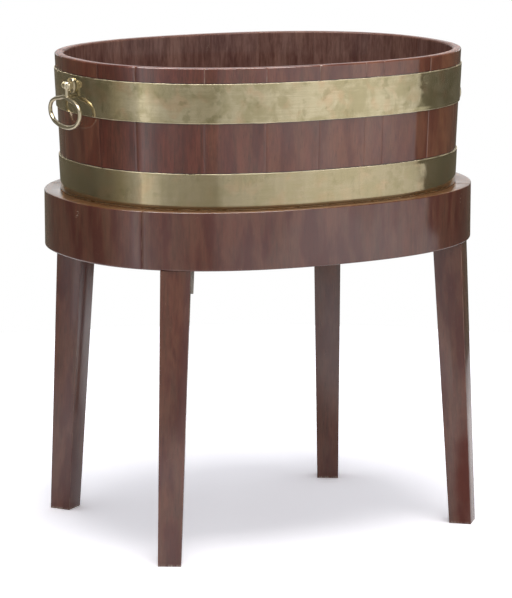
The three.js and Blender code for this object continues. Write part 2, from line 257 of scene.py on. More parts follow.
    @staticmethod
    def soften(piece: Piece, width: float, steps: int = 2, angle: float = 50) -> None:
        """Rounds every edge sharper than an angle in degrees."""
        Bench.finish(piece, "BEVEL", width=width, segments=steps, limit_method="ANGLE",
                     angle_limit=math.radians(angle), use_clamp_overlap=True)

    @staticmethod
    def ripple(piece: Piece, name: str, size: float, depth: float, direction: str, part: str = "") -> None:
        """Works unevenness into a piece.

        Args:
            piece: The piece to change.
            name: What the unevenness is.
            size: How wide one wave is.
            depth: How deep the waves are.
            direction: NORMAL or Z.
            part: The vertex group that it reaches, or all.
        """
        waves = bpy.data.textures.new(f"{piece.name}_{name}", "CLOUDS")
        waves.noise_scale = size
        Bench.finish(piece, "DISPLACE", texture=waves, texture_coords="LOCAL", direction=direction,
                     strength=depth, mid_level=0.5, vertex_group=part)

    @staticmethod
    def smooth(piece: Piece, angle: float = 32) -> None:
        """Shades a piece smooth, apart from edges sharper than an angle in degrees."""
        Bench.take(piece)
        bpy.ops.object.shade_smooth_by_angle(angle=math.radians(angle))

    @staticmethod
    def weld(piece: Piece) -> None:
        """Merges corners that meet and turns the faces outwards.

        Args:
            piece: The piece to change.
        """
        Bench.edit(piece)
        bpy.ops.mesh.select_all(action="SELECT")
        bpy.ops.mesh.remove_doubles(threshold=WELDED)
        Bench.face_out()
        Bench.leave()

    @staticmethod
    def join(name: str, pieces: Sequence[Piece]) -> Piece:
        """Joins pieces.

        Args:
            name: Name of the joined piece.
            pieces: The pieces.

        Returns:
            The joined piece.
        """
        Bench.take(pieces[0])
        for piece in pieces[1:]:
            piece.select_set(True)
        bpy.ops.object.join()
        return Bench.added(name)


def mark(piece: Piece, seed: int, tone: float, ends: Span | None = None) -> None:
    """Writes a piece's own pattern attributes, before it is bent.

    Args:
        piece: The straight piece.
        seed: Number that shifts the pattern, so that no two pieces match.
        tone: How light the piece is, from 0 to 1.
        ends: Lowest and highest X, where the piece meets its neighbours.
    """
    mesh = piece.data
    for name, kind in (("work", "FLOAT_VECTOR"), ("tone", "FLOAT"), ("joint", "FLOAT")):
        mesh.attributes.new(name, kind, "POINT")
    work, tones, joints = (mesh.attributes[name] for name in ("work", "tone", "joint"))
    for corner in mesh.vertices:
        place = corner.co.copy()
        gap = min(place.x - ends[0], ends[1] - place.x) if ends else 1.0
        work.data[corner.index].vector = place + Vector((seed * GRAIN_SHIFT, 0, 0))
        tones.data[corner.index].value = tone
        joints.data[corner.index].value = max(gap, 0.0)


@dataclass(frozen=True)
class Oval:
    """A superellipse, measured by turns anticlockwise from its right end."""

    half_length: float
    half_depth: float
    power: float = 2.33

    @staticmethod
    def ray(turn: float) -> Vector:
        """Direction of a turn."""
        return Vector((math.cos(turn * FULL_TURN), math.sin(turn * FULL_TURN), 0))

    def level(self, x: float, y: float) -> float:
        """Below 1 inside the oval and above 1 outside it."""
        return abs(x / self.half_length) ** self.power + abs(y / self.half_depth) ** self.power

    def point(self, turn: float, offset: float = 0.0) -> Vector:
        """Point of the outline, or of a line that stands outside it by an offset."""
        ray = self.ray(turn)
        return ray * self.level(ray.x, ray.y) ** (-1 / self.power) + self.normal(turn) * offset

    def normal(self, turn: float) -> Vector:
        """Outward direction of the outline.

        Args:
            turn: Where on the outline.

        Returns:
            The direction, of length 1.
        """
        halves = (self.half_length, self.half_depth)
        lean = self.power - 1
        x, y = (math.copysign(abs(w / half) ** lean / half, w) for w, half in zip(self.ray(turn), halves))
        return Vector((x, y, 0)).normalized()


class Former:
    """An oval that straight work is bent round, clockwise from a starting joint."""

    steps: int = 1440

    def __init__(self, name: str, oval: Oval, start: float) -> None:
        """Lays out the outline and the curve.

        Args:
            name: Name of the curve.
            oval: The outline.
            start: Turn at which straight work has its X = 0.
        """
        self.start = start
        points = [oval.point(start - i / self.steps) for i in range(self.steps)]
        self.lengths = [0.0]
        for here, there in zip(points, [*points[1:], points[0]]):
            self.lengths.append(self.lengths[-1] + (there - here).length)
        data = bpy.data.curves.new(name, "CURVE")
        data.dimensions = "2D"
        spline = data.splines.new("POLY")
        spline.points.add(self.steps - 1)
        for target, point in zip(spline.points, points):
            target.co = (*point, 1)
        spline.use_cyclic_u = True
        self.curve = bpy.data.objects.new(name, data)
        bpy.context.collection.objects.link(self.curve)

    @property
    def length(self) -> float:
        """Length once round."""
        return self.lengths[-1]

    def reach(self, turn: float) -> float:
        """Length along the former, clockwise from its start.

        Args:
            turn: Where the length ends.

        Returns:
            The length.
        """
        place = (self.start - turn) % 1 * self.steps
        whole = int(place) % self.steps
        return self.lengths[whole] + (place - int(place)) * (self.lengths[whole + 1] - self.lengths[whole])

    def turn(self, reach: float) -> float:
        """Turn at a length along the former.

        Args:
            reach: The length.

        Returns:
            The turn.
        """
        whole = min(bisect_right(self.lengths, reach), self.steps) - 1
        part = (reach - self.lengths[whole]) / (self.lengths[whole + 1] - self.lengths[whole])
        return self.start - (whole + part) / self.steps

    def span(self, first: float, last: float, gap: float) -> Span:
        """Length of work between two turns.

        Args:
            first: Turn where the piece starts, anticlockwise.
            last: Turn where it ends.
            gap: Fitting gap that both ends share.

        Returns:
            Lowest and highest X of the straight piece.
        """
        low, high = self.reach(last), self.reach(first)
        if high <= low + gap:
            high = self.length
        return low + gap / 2, high - gap / 2

    def bend(self, piece: Piece) -> None:
        """Bends a straight piece round the former: Y stands outward from it."""
        Bench.finish(piece, "CURVE", object=self.curve, deform_axis="POS_X")

    def clear(self) -> None:
        """Takes the curve out of the scene."""
        bpy.data.objects.remove(self.curve, do_unlink=True)


class Web:
    """Adds and joins the nodes of one shader tree."""

    def __init__(self, tree: bpy.types.NodeTree) -> None:
        """Keeps the tree."""
        self.tree = tree

    @classmethod
    def fresh(cls, owner: bpy.types.Material | bpy.types.World) -> "Web":
        """Empties the tree of a material or a world and opens it.

        Args:
            owner: The material or world.

        Returns:
            The web of its tree.
        """
        owner.use_nodes = True
        owner.node_tree.nodes.clear()
        return cls(owner.node_tree)

    def add(self, kind: str, inputs: dict | None = None, **settings: object) -> bpy.types.Node:
        """Adds a node.

        Args:
            kind: The node's type, without its ShaderNode start.
            inputs: Socket name or number, to a constant or to another node's output.
            **settings: Values of the node.

        Returns:
            The new node.
        """
        node = self.tree.nodes.new(kind if kind.startswith("Node") else "ShaderNode" + kind)
        for key, value in settings.items():
            setattr(node, key, value)
        for key, value in (inputs or {}).items():
            if isinstance(value, bpy.types.NodeSocket):
                self.tree.links.new(value, node.inputs[key])
            else:
                node.inputs[key].default_value = value
        return node

    def shared(self, effect: Effect, vector: Socket) -> Sequence[Socket]:
        """Places the node group of a shared effect, which is built at its first use.

        Args:
            effect: Fills the group for a vector, and returns its masks by name.
            vector: Coordinates of the pattern.

        Returns:
            The group's outputs.
        """
        tree = bpy.data.node_groups.get(effect.__name__)
        if tree is None:
            tree = bpy.data.node_groups.new(effect.__name__, "ShaderNodeTree")
            tree.interface.new_socket(name="Vector", in_out="INPUT", socket_type="NodeSocketVector")
            web = Web(tree)
            masks = effect(web, web.add("NodeGroupInput").outputs["Vector"])
            for name in masks:
                tree.interface.new_socket(name=name, in_out="OUTPUT", socket_type="NodeSocketFloat")
            web.add("NodeGroupOutput", masks)
        return self.add("Group", {"Vector": vector}, node_tree=tree).outputs

    def math(self, operation: str, *values: object) -> Socket:
        """Result of a sum on numbers or outputs."""
        return self.add("Math", dict(enumerate(values)), operation=operation).outputs[0]

    def times(self, *values: object) -> Socket:
        """Product of numbers and outputs."""
        return reduce(lambda first, second: self.math("MULTIPLY", first, second), values)

    def less(self, first: object, second: object) -> Socket:
        """First number less the second."""
        return self.math("SUBTRACT", first, second)

    def apart(self, first: object, second: object) -> Socket:
        """How far two numbers are apart."""
        return self.math("ABSOLUTE", self.less(first, second))

    def total(self, *parts: tuple[object, float], start: object = 0.0) -> Socket:
        """Outputs times their weights, added to a start."""
        return reduce(lambda so_far, part: self.math("MULTIPLY_ADD", *part, so_far), parts, start)

    def distance(self, place: Socket, point: Sequence[float]) -> Socket:
        """Distance of a place from a point."""
        return self.add("VectorMath", {0: place, 1: point}, operation="DISTANCE").outputs["Value"]

    def clamp(self, value: object, low: float, high: float, out: Span = (0, 1)) -> Socket:
        """Maps a value smoothly from one range to another and keeps it inside."""
        inputs = {0: value, 1: low, 2: high, 3: out[0], 4: out[1]}
        return self.add("MapRange", inputs, interpolation_type="SMOOTHSTEP").outputs[0]

    def blend(self, share: object, first: object, second: object) -> Socket:
        """Mixes two colours by a share."""
        return self.add("Mix", {0: share, 6: first, 7: second}, data_type="RGBA").outputs[2]

    def tint(self, base: object, colour: object, *shares: object) -> Socket:
        """Lays a colour over the base by the product of its shares."""
        return self.blend(self.times(*shares), base, colour)

    def noise(self, vector: object, scale: float, detail: float = 3, roughness: float = 0.55,
              distortion: float = 0) -> Socket:
        """Even noise from 0 to 1."""
        return self.add("TexNoise", {"Vector": vector, "Scale": scale, "Detail": detail,
                                     "Roughness": roughness, "Distortion": distortion}).outputs["Fac"]

    def ramp(self, value: object, low: float, high: float, stops: Sequence[Span]) -> Socket:
        """Reads a level off a table.

        Args:
            value: The number to look up.
            low: The number where the table starts.
            high: The number where it ends.
            stops: Numbers with their levels.

        Returns:
            The level.
        """
        node = self.add("ValToRGB", {0: self.math("DIVIDE", self.less(value, low), high - low)})
        knots = node.color_ramp.elements
        for number, level in stops[1:-1]:
            knots.new((number - low) / (high - low)).color = (level, level, level, 1)
        for knot, (number, level) in ((knots[0], stops[0]), (knots[-1], stops[-1])):
            knot.position = (number - low) / (high - low)
            knot.color = (level, level, level, 1)
        return node.outputs[0]

    def stretch(self, vector: Socket, shares: Sequence[float], shift: Sequence[float] = (0, 0, 0)) -> Socket:
        """Stretches and shifts a pattern's coordinates."""
        return self.add("Mapping", {"Vector": vector, "Location": shift, "Scale": shares}).outputs[0]


def wood_grain(web: Web, vector: Socket) -> dict[str, Socket]:
    """Draws wood grain: broad bands, streaks, fine fibres, cross mottle, red patches and pores.

    Args:
        web: The group's tree.
        vector: Coordinates, already stretched along the grain.

    Returns:
        The masks by name.
    """
    bands = web.noise(web.stretch(vector, (1, 1, 1.5)), 60, 3, 0.55, 0.1)
    streaks = web.noise(web.stretch(vector, (1, 1, 1.8)), 230, 4, 0.7, 0.1)
    fibres = web.noise(web.stretch(vector, (1, 1, 0.5)), 900, 2, 0.6)
    mottle = web.noise(web.stretch(vector, (1, 1, 6)), 42, 4, 0.65, 0.3)
    patches = web.noise(web.stretch(vector, (1, 1, 4), (7, 3, 2)), 36, 3, 0.55, 0.2)
    pores = web.noise(web.stretch(vector, (1, 1, 0.5)), 1500, 1)
    return {
        "Bands": web.clamp(bands, 0.38, 0.62), "Streaks": web.clamp(streaks, 0.36, 0.64),
        "Fibres": web.clamp(fibres, 0.36, 0.64), "Mottle": web.clamp(mottle, 0.4, 0.64),
        "Patches": web.clamp(patches, 0.45, 0.62), "Pores": web.clamp(pores, 0.6, 0.7),
    }


def hairlines(web: Web, vector: Socket) -> dict[str, Socket]:
    """Draws sparse hairline scratches.

    Args:
        web: The group's tree.
        vector: Coordinates of the piece.

    Returns:
        The mask by name.
    """
    wander = web.add("TexNoise", {"Vector": vector, "Scale": 9.0, "Detail": 2.0}).outputs["Color"]
    bent = web.add("VectorMath", {0: vector, 1: wander}, operation="ADD").outputs[0]
    cells = web.add("TexVoronoi", {"Vector": bent, "Scale": 24.0}, feature="DISTANCE_TO_EDGE").outputs[0]
    spots = web.clamp(web.noise(vector, 30, 2), 0.56, 0.66)
    breaks = web.clamp(web.noise(vector, 260, 2), 0.45, 0.6)
    return {"Lines": web.times(web.clamp(cells, 0.0, 0.012, (1, 0)), spots, breaks)}


class Finish:
    """A finish that is made once and then shared by pieces."""

    name: str

    def material(self) -> bpy.types.Material:
        """Builds the finish's material at its first use.

        Returns:
            The material.
        """
        made = bpy.data.materials.get(self.name)
        if made is None:
            made = bpy.data.materials.new(self.name)
            web = Web.fresh(made)
            web.add("OutputMaterial", {"Surface": self.build(web).outputs[0]})
        return made

    def build(self, web: Web) -> bpy.types.Node:
        """Adds the finish's nodes and returns its shader node."""
        raise NotImplementedError

    def dress(self, piece: Piece) -> None:
        """Gives a piece this finish alone."""
        piece.data.materials.clear()
        piece.data.materials.append(self.material())


class Timber:
    """What a mahogany finish reads off a piece: its straight work, its place and its grain."""

    def __init__(self, web: Web) -> None:
        """Adds the nodes that read the piece.

        Args:
            web: The finish's tree.
        """
        self.web = web
        self.work = web.add("Attribute", attribute_name="work").outputs["Vector"]
        self.tone = web.add("Attribute", attribute_name="tone").outputs["Fac"]
        self.joint = web.add("Attribute", attribute_name="joint").outputs["Fac"]
        self.place = web.add("TexCoord").outputs["Object"]
        _, self.outward, self.height = web.add("SeparateXYZ", {0: self.work}).outputs
        self.grain = web.shared(wood_grain, web.stretch(self.work, Axis.UPRIGHT.value))


@dataclass(frozen=True)
class Mahogany(Finish):
    """Polished mahogany with grain, pores, pale joints, hairline scratches and a glossy coat."""

    name: str
    dark: Colour
    middle: Colour
    light: Colour
    redness: float
    gloss_blur: float

    def build(self, web: Web) -> bpy.types.Node:
        """Adds the finish's nodes.

        Args:
            web: The material's tree.

        Returns:
            The shader node.
        """
        timber = Timber(web)
        grain = timber.grain
        share = web.total((grain["Bands"], 0.34), (grain["Streaks"], 0.48), (grain["Fibres"], 0.18))
        base = web.blend(share, self.dark, self.middle)
        base = web.tint(base, self.light, web.total((grain["Mottle"], 0.4), start=0.6), timber.tone)
        base = web.tint(base, paint(74, 20, 15), grain["Patches"], self.redness)
        base = web.tint(base, self.dark, grain["Pores"], 0.5)
        base = self.age(timber, base)
        seam = web.clamp(timber.joint, 0.1 * MM, 0.9 * MM, (1, 0))
        breaks = web.clamp(web.noise(timber.work, 45, 2), 0.4, 0.62)
        base = web.tint(base, paint(168, 138, 118), seam, breaks, self.seams(timber))
        base = self.wear(timber, base)
        base = web.tint(base, paint(170, 140, 120), web.shared(hairlines, timber.work)["Lines"], 0.22)
        coat = web.clamp(web.noise(web.stretch(timber.place, (1, 1, 0.5)), 16, 4), 0.36, 0.62, (0.78, 1))
        base, coat = self.polish(timber, base, coat)
        height = web.total((grain["Streaks"], 0.4), (grain["Pores"], -0.5))
        bump = web.add("Bump", {"Height": height, "Strength": 0.35, "Distance": 0.15 * MM})
        rough = web.total((web.noise(timber.place, 60, 3), 0.16), start=0.28)
        return web.add("BsdfPrincipled", {
            "Base Color": base, "Roughness": rough, "Normal": bump.outputs[0], "IOR": 1.5,
            "Specular IOR Level": 0.15, "Coat Weight": coat, "Coat Roughness": self.gloss_blur,
            "Coat IOR": 1.7,
        })

    def age(self, timber: Timber, base: Socket) -> Socket:
        """Adds what lies under the pale joints: nothing, unless a finish says more."""
        return base

    def wear(self, timber: Timber, base: Socket) -> Socket:
        """Adds what lies over the pale joints: nothing, unless a finish says more."""
        return base

    def seams(self, timber: Timber) -> object:
        """How much the pale joints show."""
        return 0.4

    def polish(self, timber: Timber, base: Socket, coat: Socket) -> tuple[Socket, Socket]:
        """Changes the colour and the coat's weight where the polish is worn."""
        return base, coat


@dataclass(frozen=True)
class StaveMahogany(Mahogany):
    """The tub's mahogany: stained inside, worn at the rim, darkened beside the hoops by dirt and painted
    shade, and painted with the brass's reflection below the lower hoop.
    """

    rim: float
    hoop_edges: tuple[float, ...]
    slope: float
    slope_foot: float
    thickness: float

    def inside(self, timber: Timber) -> Socket:
        """Marks the tub's inner face.

        Args:
            timber: What the finish reads.

        Returns:
            A share from 0 to 1.
        """
        web, inner = timber.web, -self.thickness
        depth = web.less(timber.outward, web.times(web.less(timber.height, self.slope_foot), self.slope))
        return web.clamp(depth, inner + 1 * MM, inner + 3 * MM, (1, 0))

    def age(self, timber: Timber, base: Socket) -> Socket:
        """Adds the stained inside, the worn rim, dirt and painted shade beside the hoops, and a painted
        reflection of the brass below the lower hoop.

        Args:
            timber: What the finish reads.
            base: Colour so far.

        Returns:
            The new colour.
        """
        web, height, grain = timber.web, timber.height, timber.grain
        inside = self.inside(timber)
        share = web.total((grain["Mottle"], 0.5), (grain["Streaks"], 0.5))
        base = web.tint(base, web.blend(share, paint(74, 50, 45), paint(116, 90, 82)), inside, 0.75)
        wear = web.clamp(height, self.rim - 3.5 * MM, self.rim - 0.5 * MM)
        base = web.tint(base, paint(128, 90, 76), wear, grain["Fibres"], 0.3)
        outside = web.less(1.0, inside)
        for edge in self.hoop_edges:
            # Darkens the wood beside each hoop edge: dirt, plus painted shade under the proud brass.
            near = web.clamp(web.apart(height, edge), 0.2 * MM, 1.8 * MM, (1, 0))
            base = web.tint(base, paint(36, 24, 20), near, outside, 0.75)
        # Paints the wood just below the lower hoop's foot golden: a painted reflection of the brass that
        # lightens the shaded gap above the ledge.
        foot = min(self.hoop_edges)
        above = web.clamp(height, foot - 10 * MM, foot - 6 * MM)
        below = web.clamp(height, foot - 0.2 * MM, foot + 0.2 * MM, (0.9, 0))
        return web.tint(base, paint(186, 148, 84), above, outside, below)

    def seams(self, timber: Timber) -> Socket:
        """The pale joints show most above the upper hoop, and hardly inside."""
        high = timber.web.clamp(timber.height, self.rim - 24 * MM, self.rim - 20 * MM, (0.04, 0.6))
        return timber.web.times(high, timber.web.clamp(self.inside(timber), 0, 1, (1, 0.08)))

    def polish(self, timber: Timber, base: Socket, coat: Socket) -> tuple[Socket, Socket]:
        """Takes the gloss off the inner face and the rim's flat top."""
        flat = timber.web.clamp(timber.height, self.rim - 0.9 * MM, self.rim - 0.3 * MM, (1, 0.25))
        return base, timber.web.times(coat, timber.web.clamp(self.inside(timber), 0, 1, (1, 0.12)), flat)


@dataclass(frozen=True)
class Scuff:
    """A worn place on the wood, at a point on the object."""

    place: tuple[float, float, float]
    radius: float
    strength: float


@dataclass(frozen=True)
class StandMahogany(Mahogany):
    """The stand's mahogany: scuffed, pale at the feet, rubbed bare in places, with a painted reflection of
    the brass on its ledge.
    """

    scuffs: tuple[Scuff, ...]
    rubs: tuple[Scuff, ...]
    ledge: float

    def wear(self, timber: Timber, base: Socket) -> Socket:
        """Adds places of crossing pale scratches, and the pale feet.

        Args:
            timber: What the finish reads.
            base: Colour so far.

        Returns:
            The new colour.
        """
        web = timber.web
        crossing = {"Vector": timber.place, "Rotation": (0.9, 0.2, 0.5), "Scale": (150, 90, 330)}
        for scuff in self.scuffs:
            away = web.distance(timber.place, scuff.place)
            near = web.clamp(away, 0.2 * scuff.radius, scuff.radius, (1, 0))
            lines = web.clamp(web.noise(web.add("Mapping", crossing).outputs[0], 1, 3, 0.6), 0.58, 0.64)
            base = web.tint(base, paint(190, 168, 150), near, lines, scuff.strength)
        foot = web.clamp(timber.height, 1 * MM, 4 * MM, (1, 0))
        return web.tint(base, paint(150, 134, 120), foot, timber.grain["Streaks"])

    def polish(self, timber: Timber, base: Socket, coat: Socket) -> tuple[Socket, Socket]:
        """Adds a painted reflection of the brass hoop on the ledge's top, and tall rubbed patches with a soft
        edge.

        Args:
            timber: What the finish reads.
            base: Colour so far.
            coat: Weight of the coat so far.

        Returns:
            The new colour and weight.
        """
        web = timber.web
        # Tints the ledge's flat top golden brown, a painted reflection of the brass hoop above it, and thins
        # its coat there.
        flat = web.clamp(timber.height, self.ledge - 0.7 * MM, self.ledge - 0.2 * MM)
        base = web.tint(base, paint(146, 106, 64), flat, 0.42)
        coat = web.times(coat, web.total((flat, -0.3), start=1.0))
        squash = 0.18
        for rub in self.rubs:
            x, y, z = rub.place
            away = web.distance(web.stretch(timber.place, (1, 1, squash)), (x, y, squash * z))
            away = web.total((web.noise(timber.place, 50, 3), 10 * MM), start=away)
            near = web.clamp(away, 0.45 * rub.radius, rub.radius + 6 * MM, (rub.strength, 0))
            base = web.tint(base, paint(84, 28, 16), near)
            coat = web.times(coat, web.less(1.0, near))
        return base, coat


@dataclass(frozen=True)
class DryWood(Finish):
    """Unpolished wood of hidden parts, with saw marks and dust."""

    name: str
    dark: Colour
    light: Colour
    axis: Axis

    def build(self, web: Web) -> bpy.types.Node:
        """Adds the finish's nodes.

        Args:
            web: The material's tree.

        Returns:
            The shader node.
        """
        place = web.add("TexCoord").outputs["Object"]
        grain = web.shared(wood_grain, web.stretch(place, self.axis.value))
        share = web.total((grain["Streaks"], 0.5), (grain["Bands"], 0.5))
        base = web.tint(web.blend(share, self.dark, self.light), self.dark, grain["Pores"], 0.5)
        base = web.tint(base, paint(70, 56, 48), web.clamp(web.noise(place, 12, 3), 0.4, 0.7), 0.35)
        height = web.math("ADD", grain["Streaks"], web.times(grain["Pores"], -0.6))
        bump = web.add("Bump", {"Height": height, "Strength": 0.6, "Distance": 0.3 * MM})
        rough = web.total((web.noise(place, 80, 2), 0.2), start=0.6)
        return web.add("BsdfPrincipled", {"Base Color": base, "Roughness": rough, "Normal": bump.outputs[0]})


@dataclass(frozen=True)
class Brass(Finish):
    """Old brass with blotchy patina, brush marks, dents, and worn, rougher edges painted bright as a
    highlight line.
    """

    name: str
    bright: Colour
    rosy: Colour
    dull: Colour
    roughness: float
    patina: float
    dents: float
    haze: float = 0.3
    foot: float | None = None
    # Heights of the lips that get a painted highlight line.
    edges: tuple[float, ...] = ()

    def build(self, web: Web) -> bpy.types.Node:
        """Adds the finish's nodes.

        Args:
            web: The material's tree.

        Returns:
            The shader node.
        """
        place = web.add("TexCoord").outputs["Object"]
        cloud = web.noise(place, 32, 3, 0.55, 0.5)
        bloom = web.noise(web.stretch(place, (1, 1, 1), (3, 1, 2)), 34, 2, 0.5, 0.3)
        spots = web.noise(place, 62, 3, 0.55)
        brush = web.noise(web.stretch(place, (1, 1, 40)), 15, 4, 0.7)
        upright = web.noise(web.stretch(place, (1, 1, 0.08), (1, 5, 0)), 170, 3, 0.6)
        base = web.tint(self.bright, self.dull, web.clamp(cloud, 0.42, 0.62), self.patina)
        base = web.tint(base, self.rosy, web.clamp(bloom, 0.5, 0.7), 0.7 * self.patina)
        base = web.tint(base, paint(128, 122, 82), web.clamp(spots, 0.56, 0.7), 0.6 * self.patina)
        base = web.tint(base, self.dull, web.clamp(brush, 0.36, 0.68, (0.0, 0.32)))
        base = web.tint(base, paint(108, 98, 70), web.clamp(upright, 0.4, 0.68, (0.0, 0.08)))
        height = web.add("SeparateXYZ", {0: place}).outputs[2]
        if self.foot is not None:
            low = web.clamp(height, self.foot + 1 * MM, self.foot + 8 * MM, (1, 0))
            base = web.tint(base, paint(112, 92, 54), low, 0.5)
        hazy = web.clamp(web.noise(web.stretch(place, (1, 1, 2), (2, 2, 2)), 60, 3, 0.6), 0.42, 0.68)
        rough = web.total((web.clamp(cloud, 0.35, 0.7), 0.05), (hazy, self.haze), start=self.roughness)
        # Each lip is painted pale, as a painted highlight line, and made rougher.
        for edge in self.edges:
            lip_highlight = web.times(web.clamp(web.apart(height, edge), 0.5 * MM, 1.1 * MM, (1, 0)),
                            web.clamp(web.noise(place, 60, 2), 0.3, 0.5, (0.35, 1)))
            base = web.tint(base, paint(222, 208, 176), lip_highlight, 0.85)
            rough = web.total((lip_highlight, 0.4), start=rough)
        waves = web.total((web.noise(place, 11, 2), self.dents), (web.noise(place, 40, 2), 0.14 * self.dents))
        bump = web.add("Bump", {"Height": waves, "Strength": 1.0, "Distance": 1.0 * MM})
        return web.add("BsdfPrincipled", {"Base Color": base, "Metallic": 0.85, "Roughness": rough,
                                          "Normal": bump.outputs[0]})


class Body(Enum):
    """The bodies that pieces ride on."""

    STAND = "stand"
    COOLER = "cooler"
    LEFT_HANDLE = "left_handle"
    RIGHT_HANDLE = "right_handle"


class SlotName(Enum):
    """The record's material slots."""

    COOLER = "cooler_mahogany"
    STAND = "stand_mahogany"
    PALE = "pale_wood"
    AGED_BRASS = "aged_brass"
    CAST_BRASS = "cast_brass"


def hand_over(piece: Piece, finish: Finish, body: Body, slot: SlotName, *nodes: str) -> None:
    """Dresses a finished piece, puts it on its body and hides the CAD nodes that it stands for.

    Args:
        piece: The finished piece.
        finish: Its finish.
        body: The body that it rides on.
        slot: The record's material slot; not used.
        *nodes: The CAD nodes that it stands for.
    """
    finish.dress(piece)
    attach(piece, body.value)
    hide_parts(*nodes)
    LOG.info("%s: %d faces on %s", piece.name, len(piece.data.polygons), body.value)


@dataclass(frozen=True)
class Hoop:
    """One brass hoop: its edges, and how its brass has aged."""

    name: str
    foot: float
    top: float
    bright: Colour
    patina: float
    dents: float
    haze: float
    dull_foot: bool

    def finish(self) -> Brass:
        """The hoop's finish."""
        return Brass(
            f"aged_brass_{self.name}", self.bright, paint(202, 168, 134), paint(162, 151, 114), 0.05,
            self.patina, self.dents, self.haze, self.foot if self.dull_foot else None, (self.foot, self.top),
        )


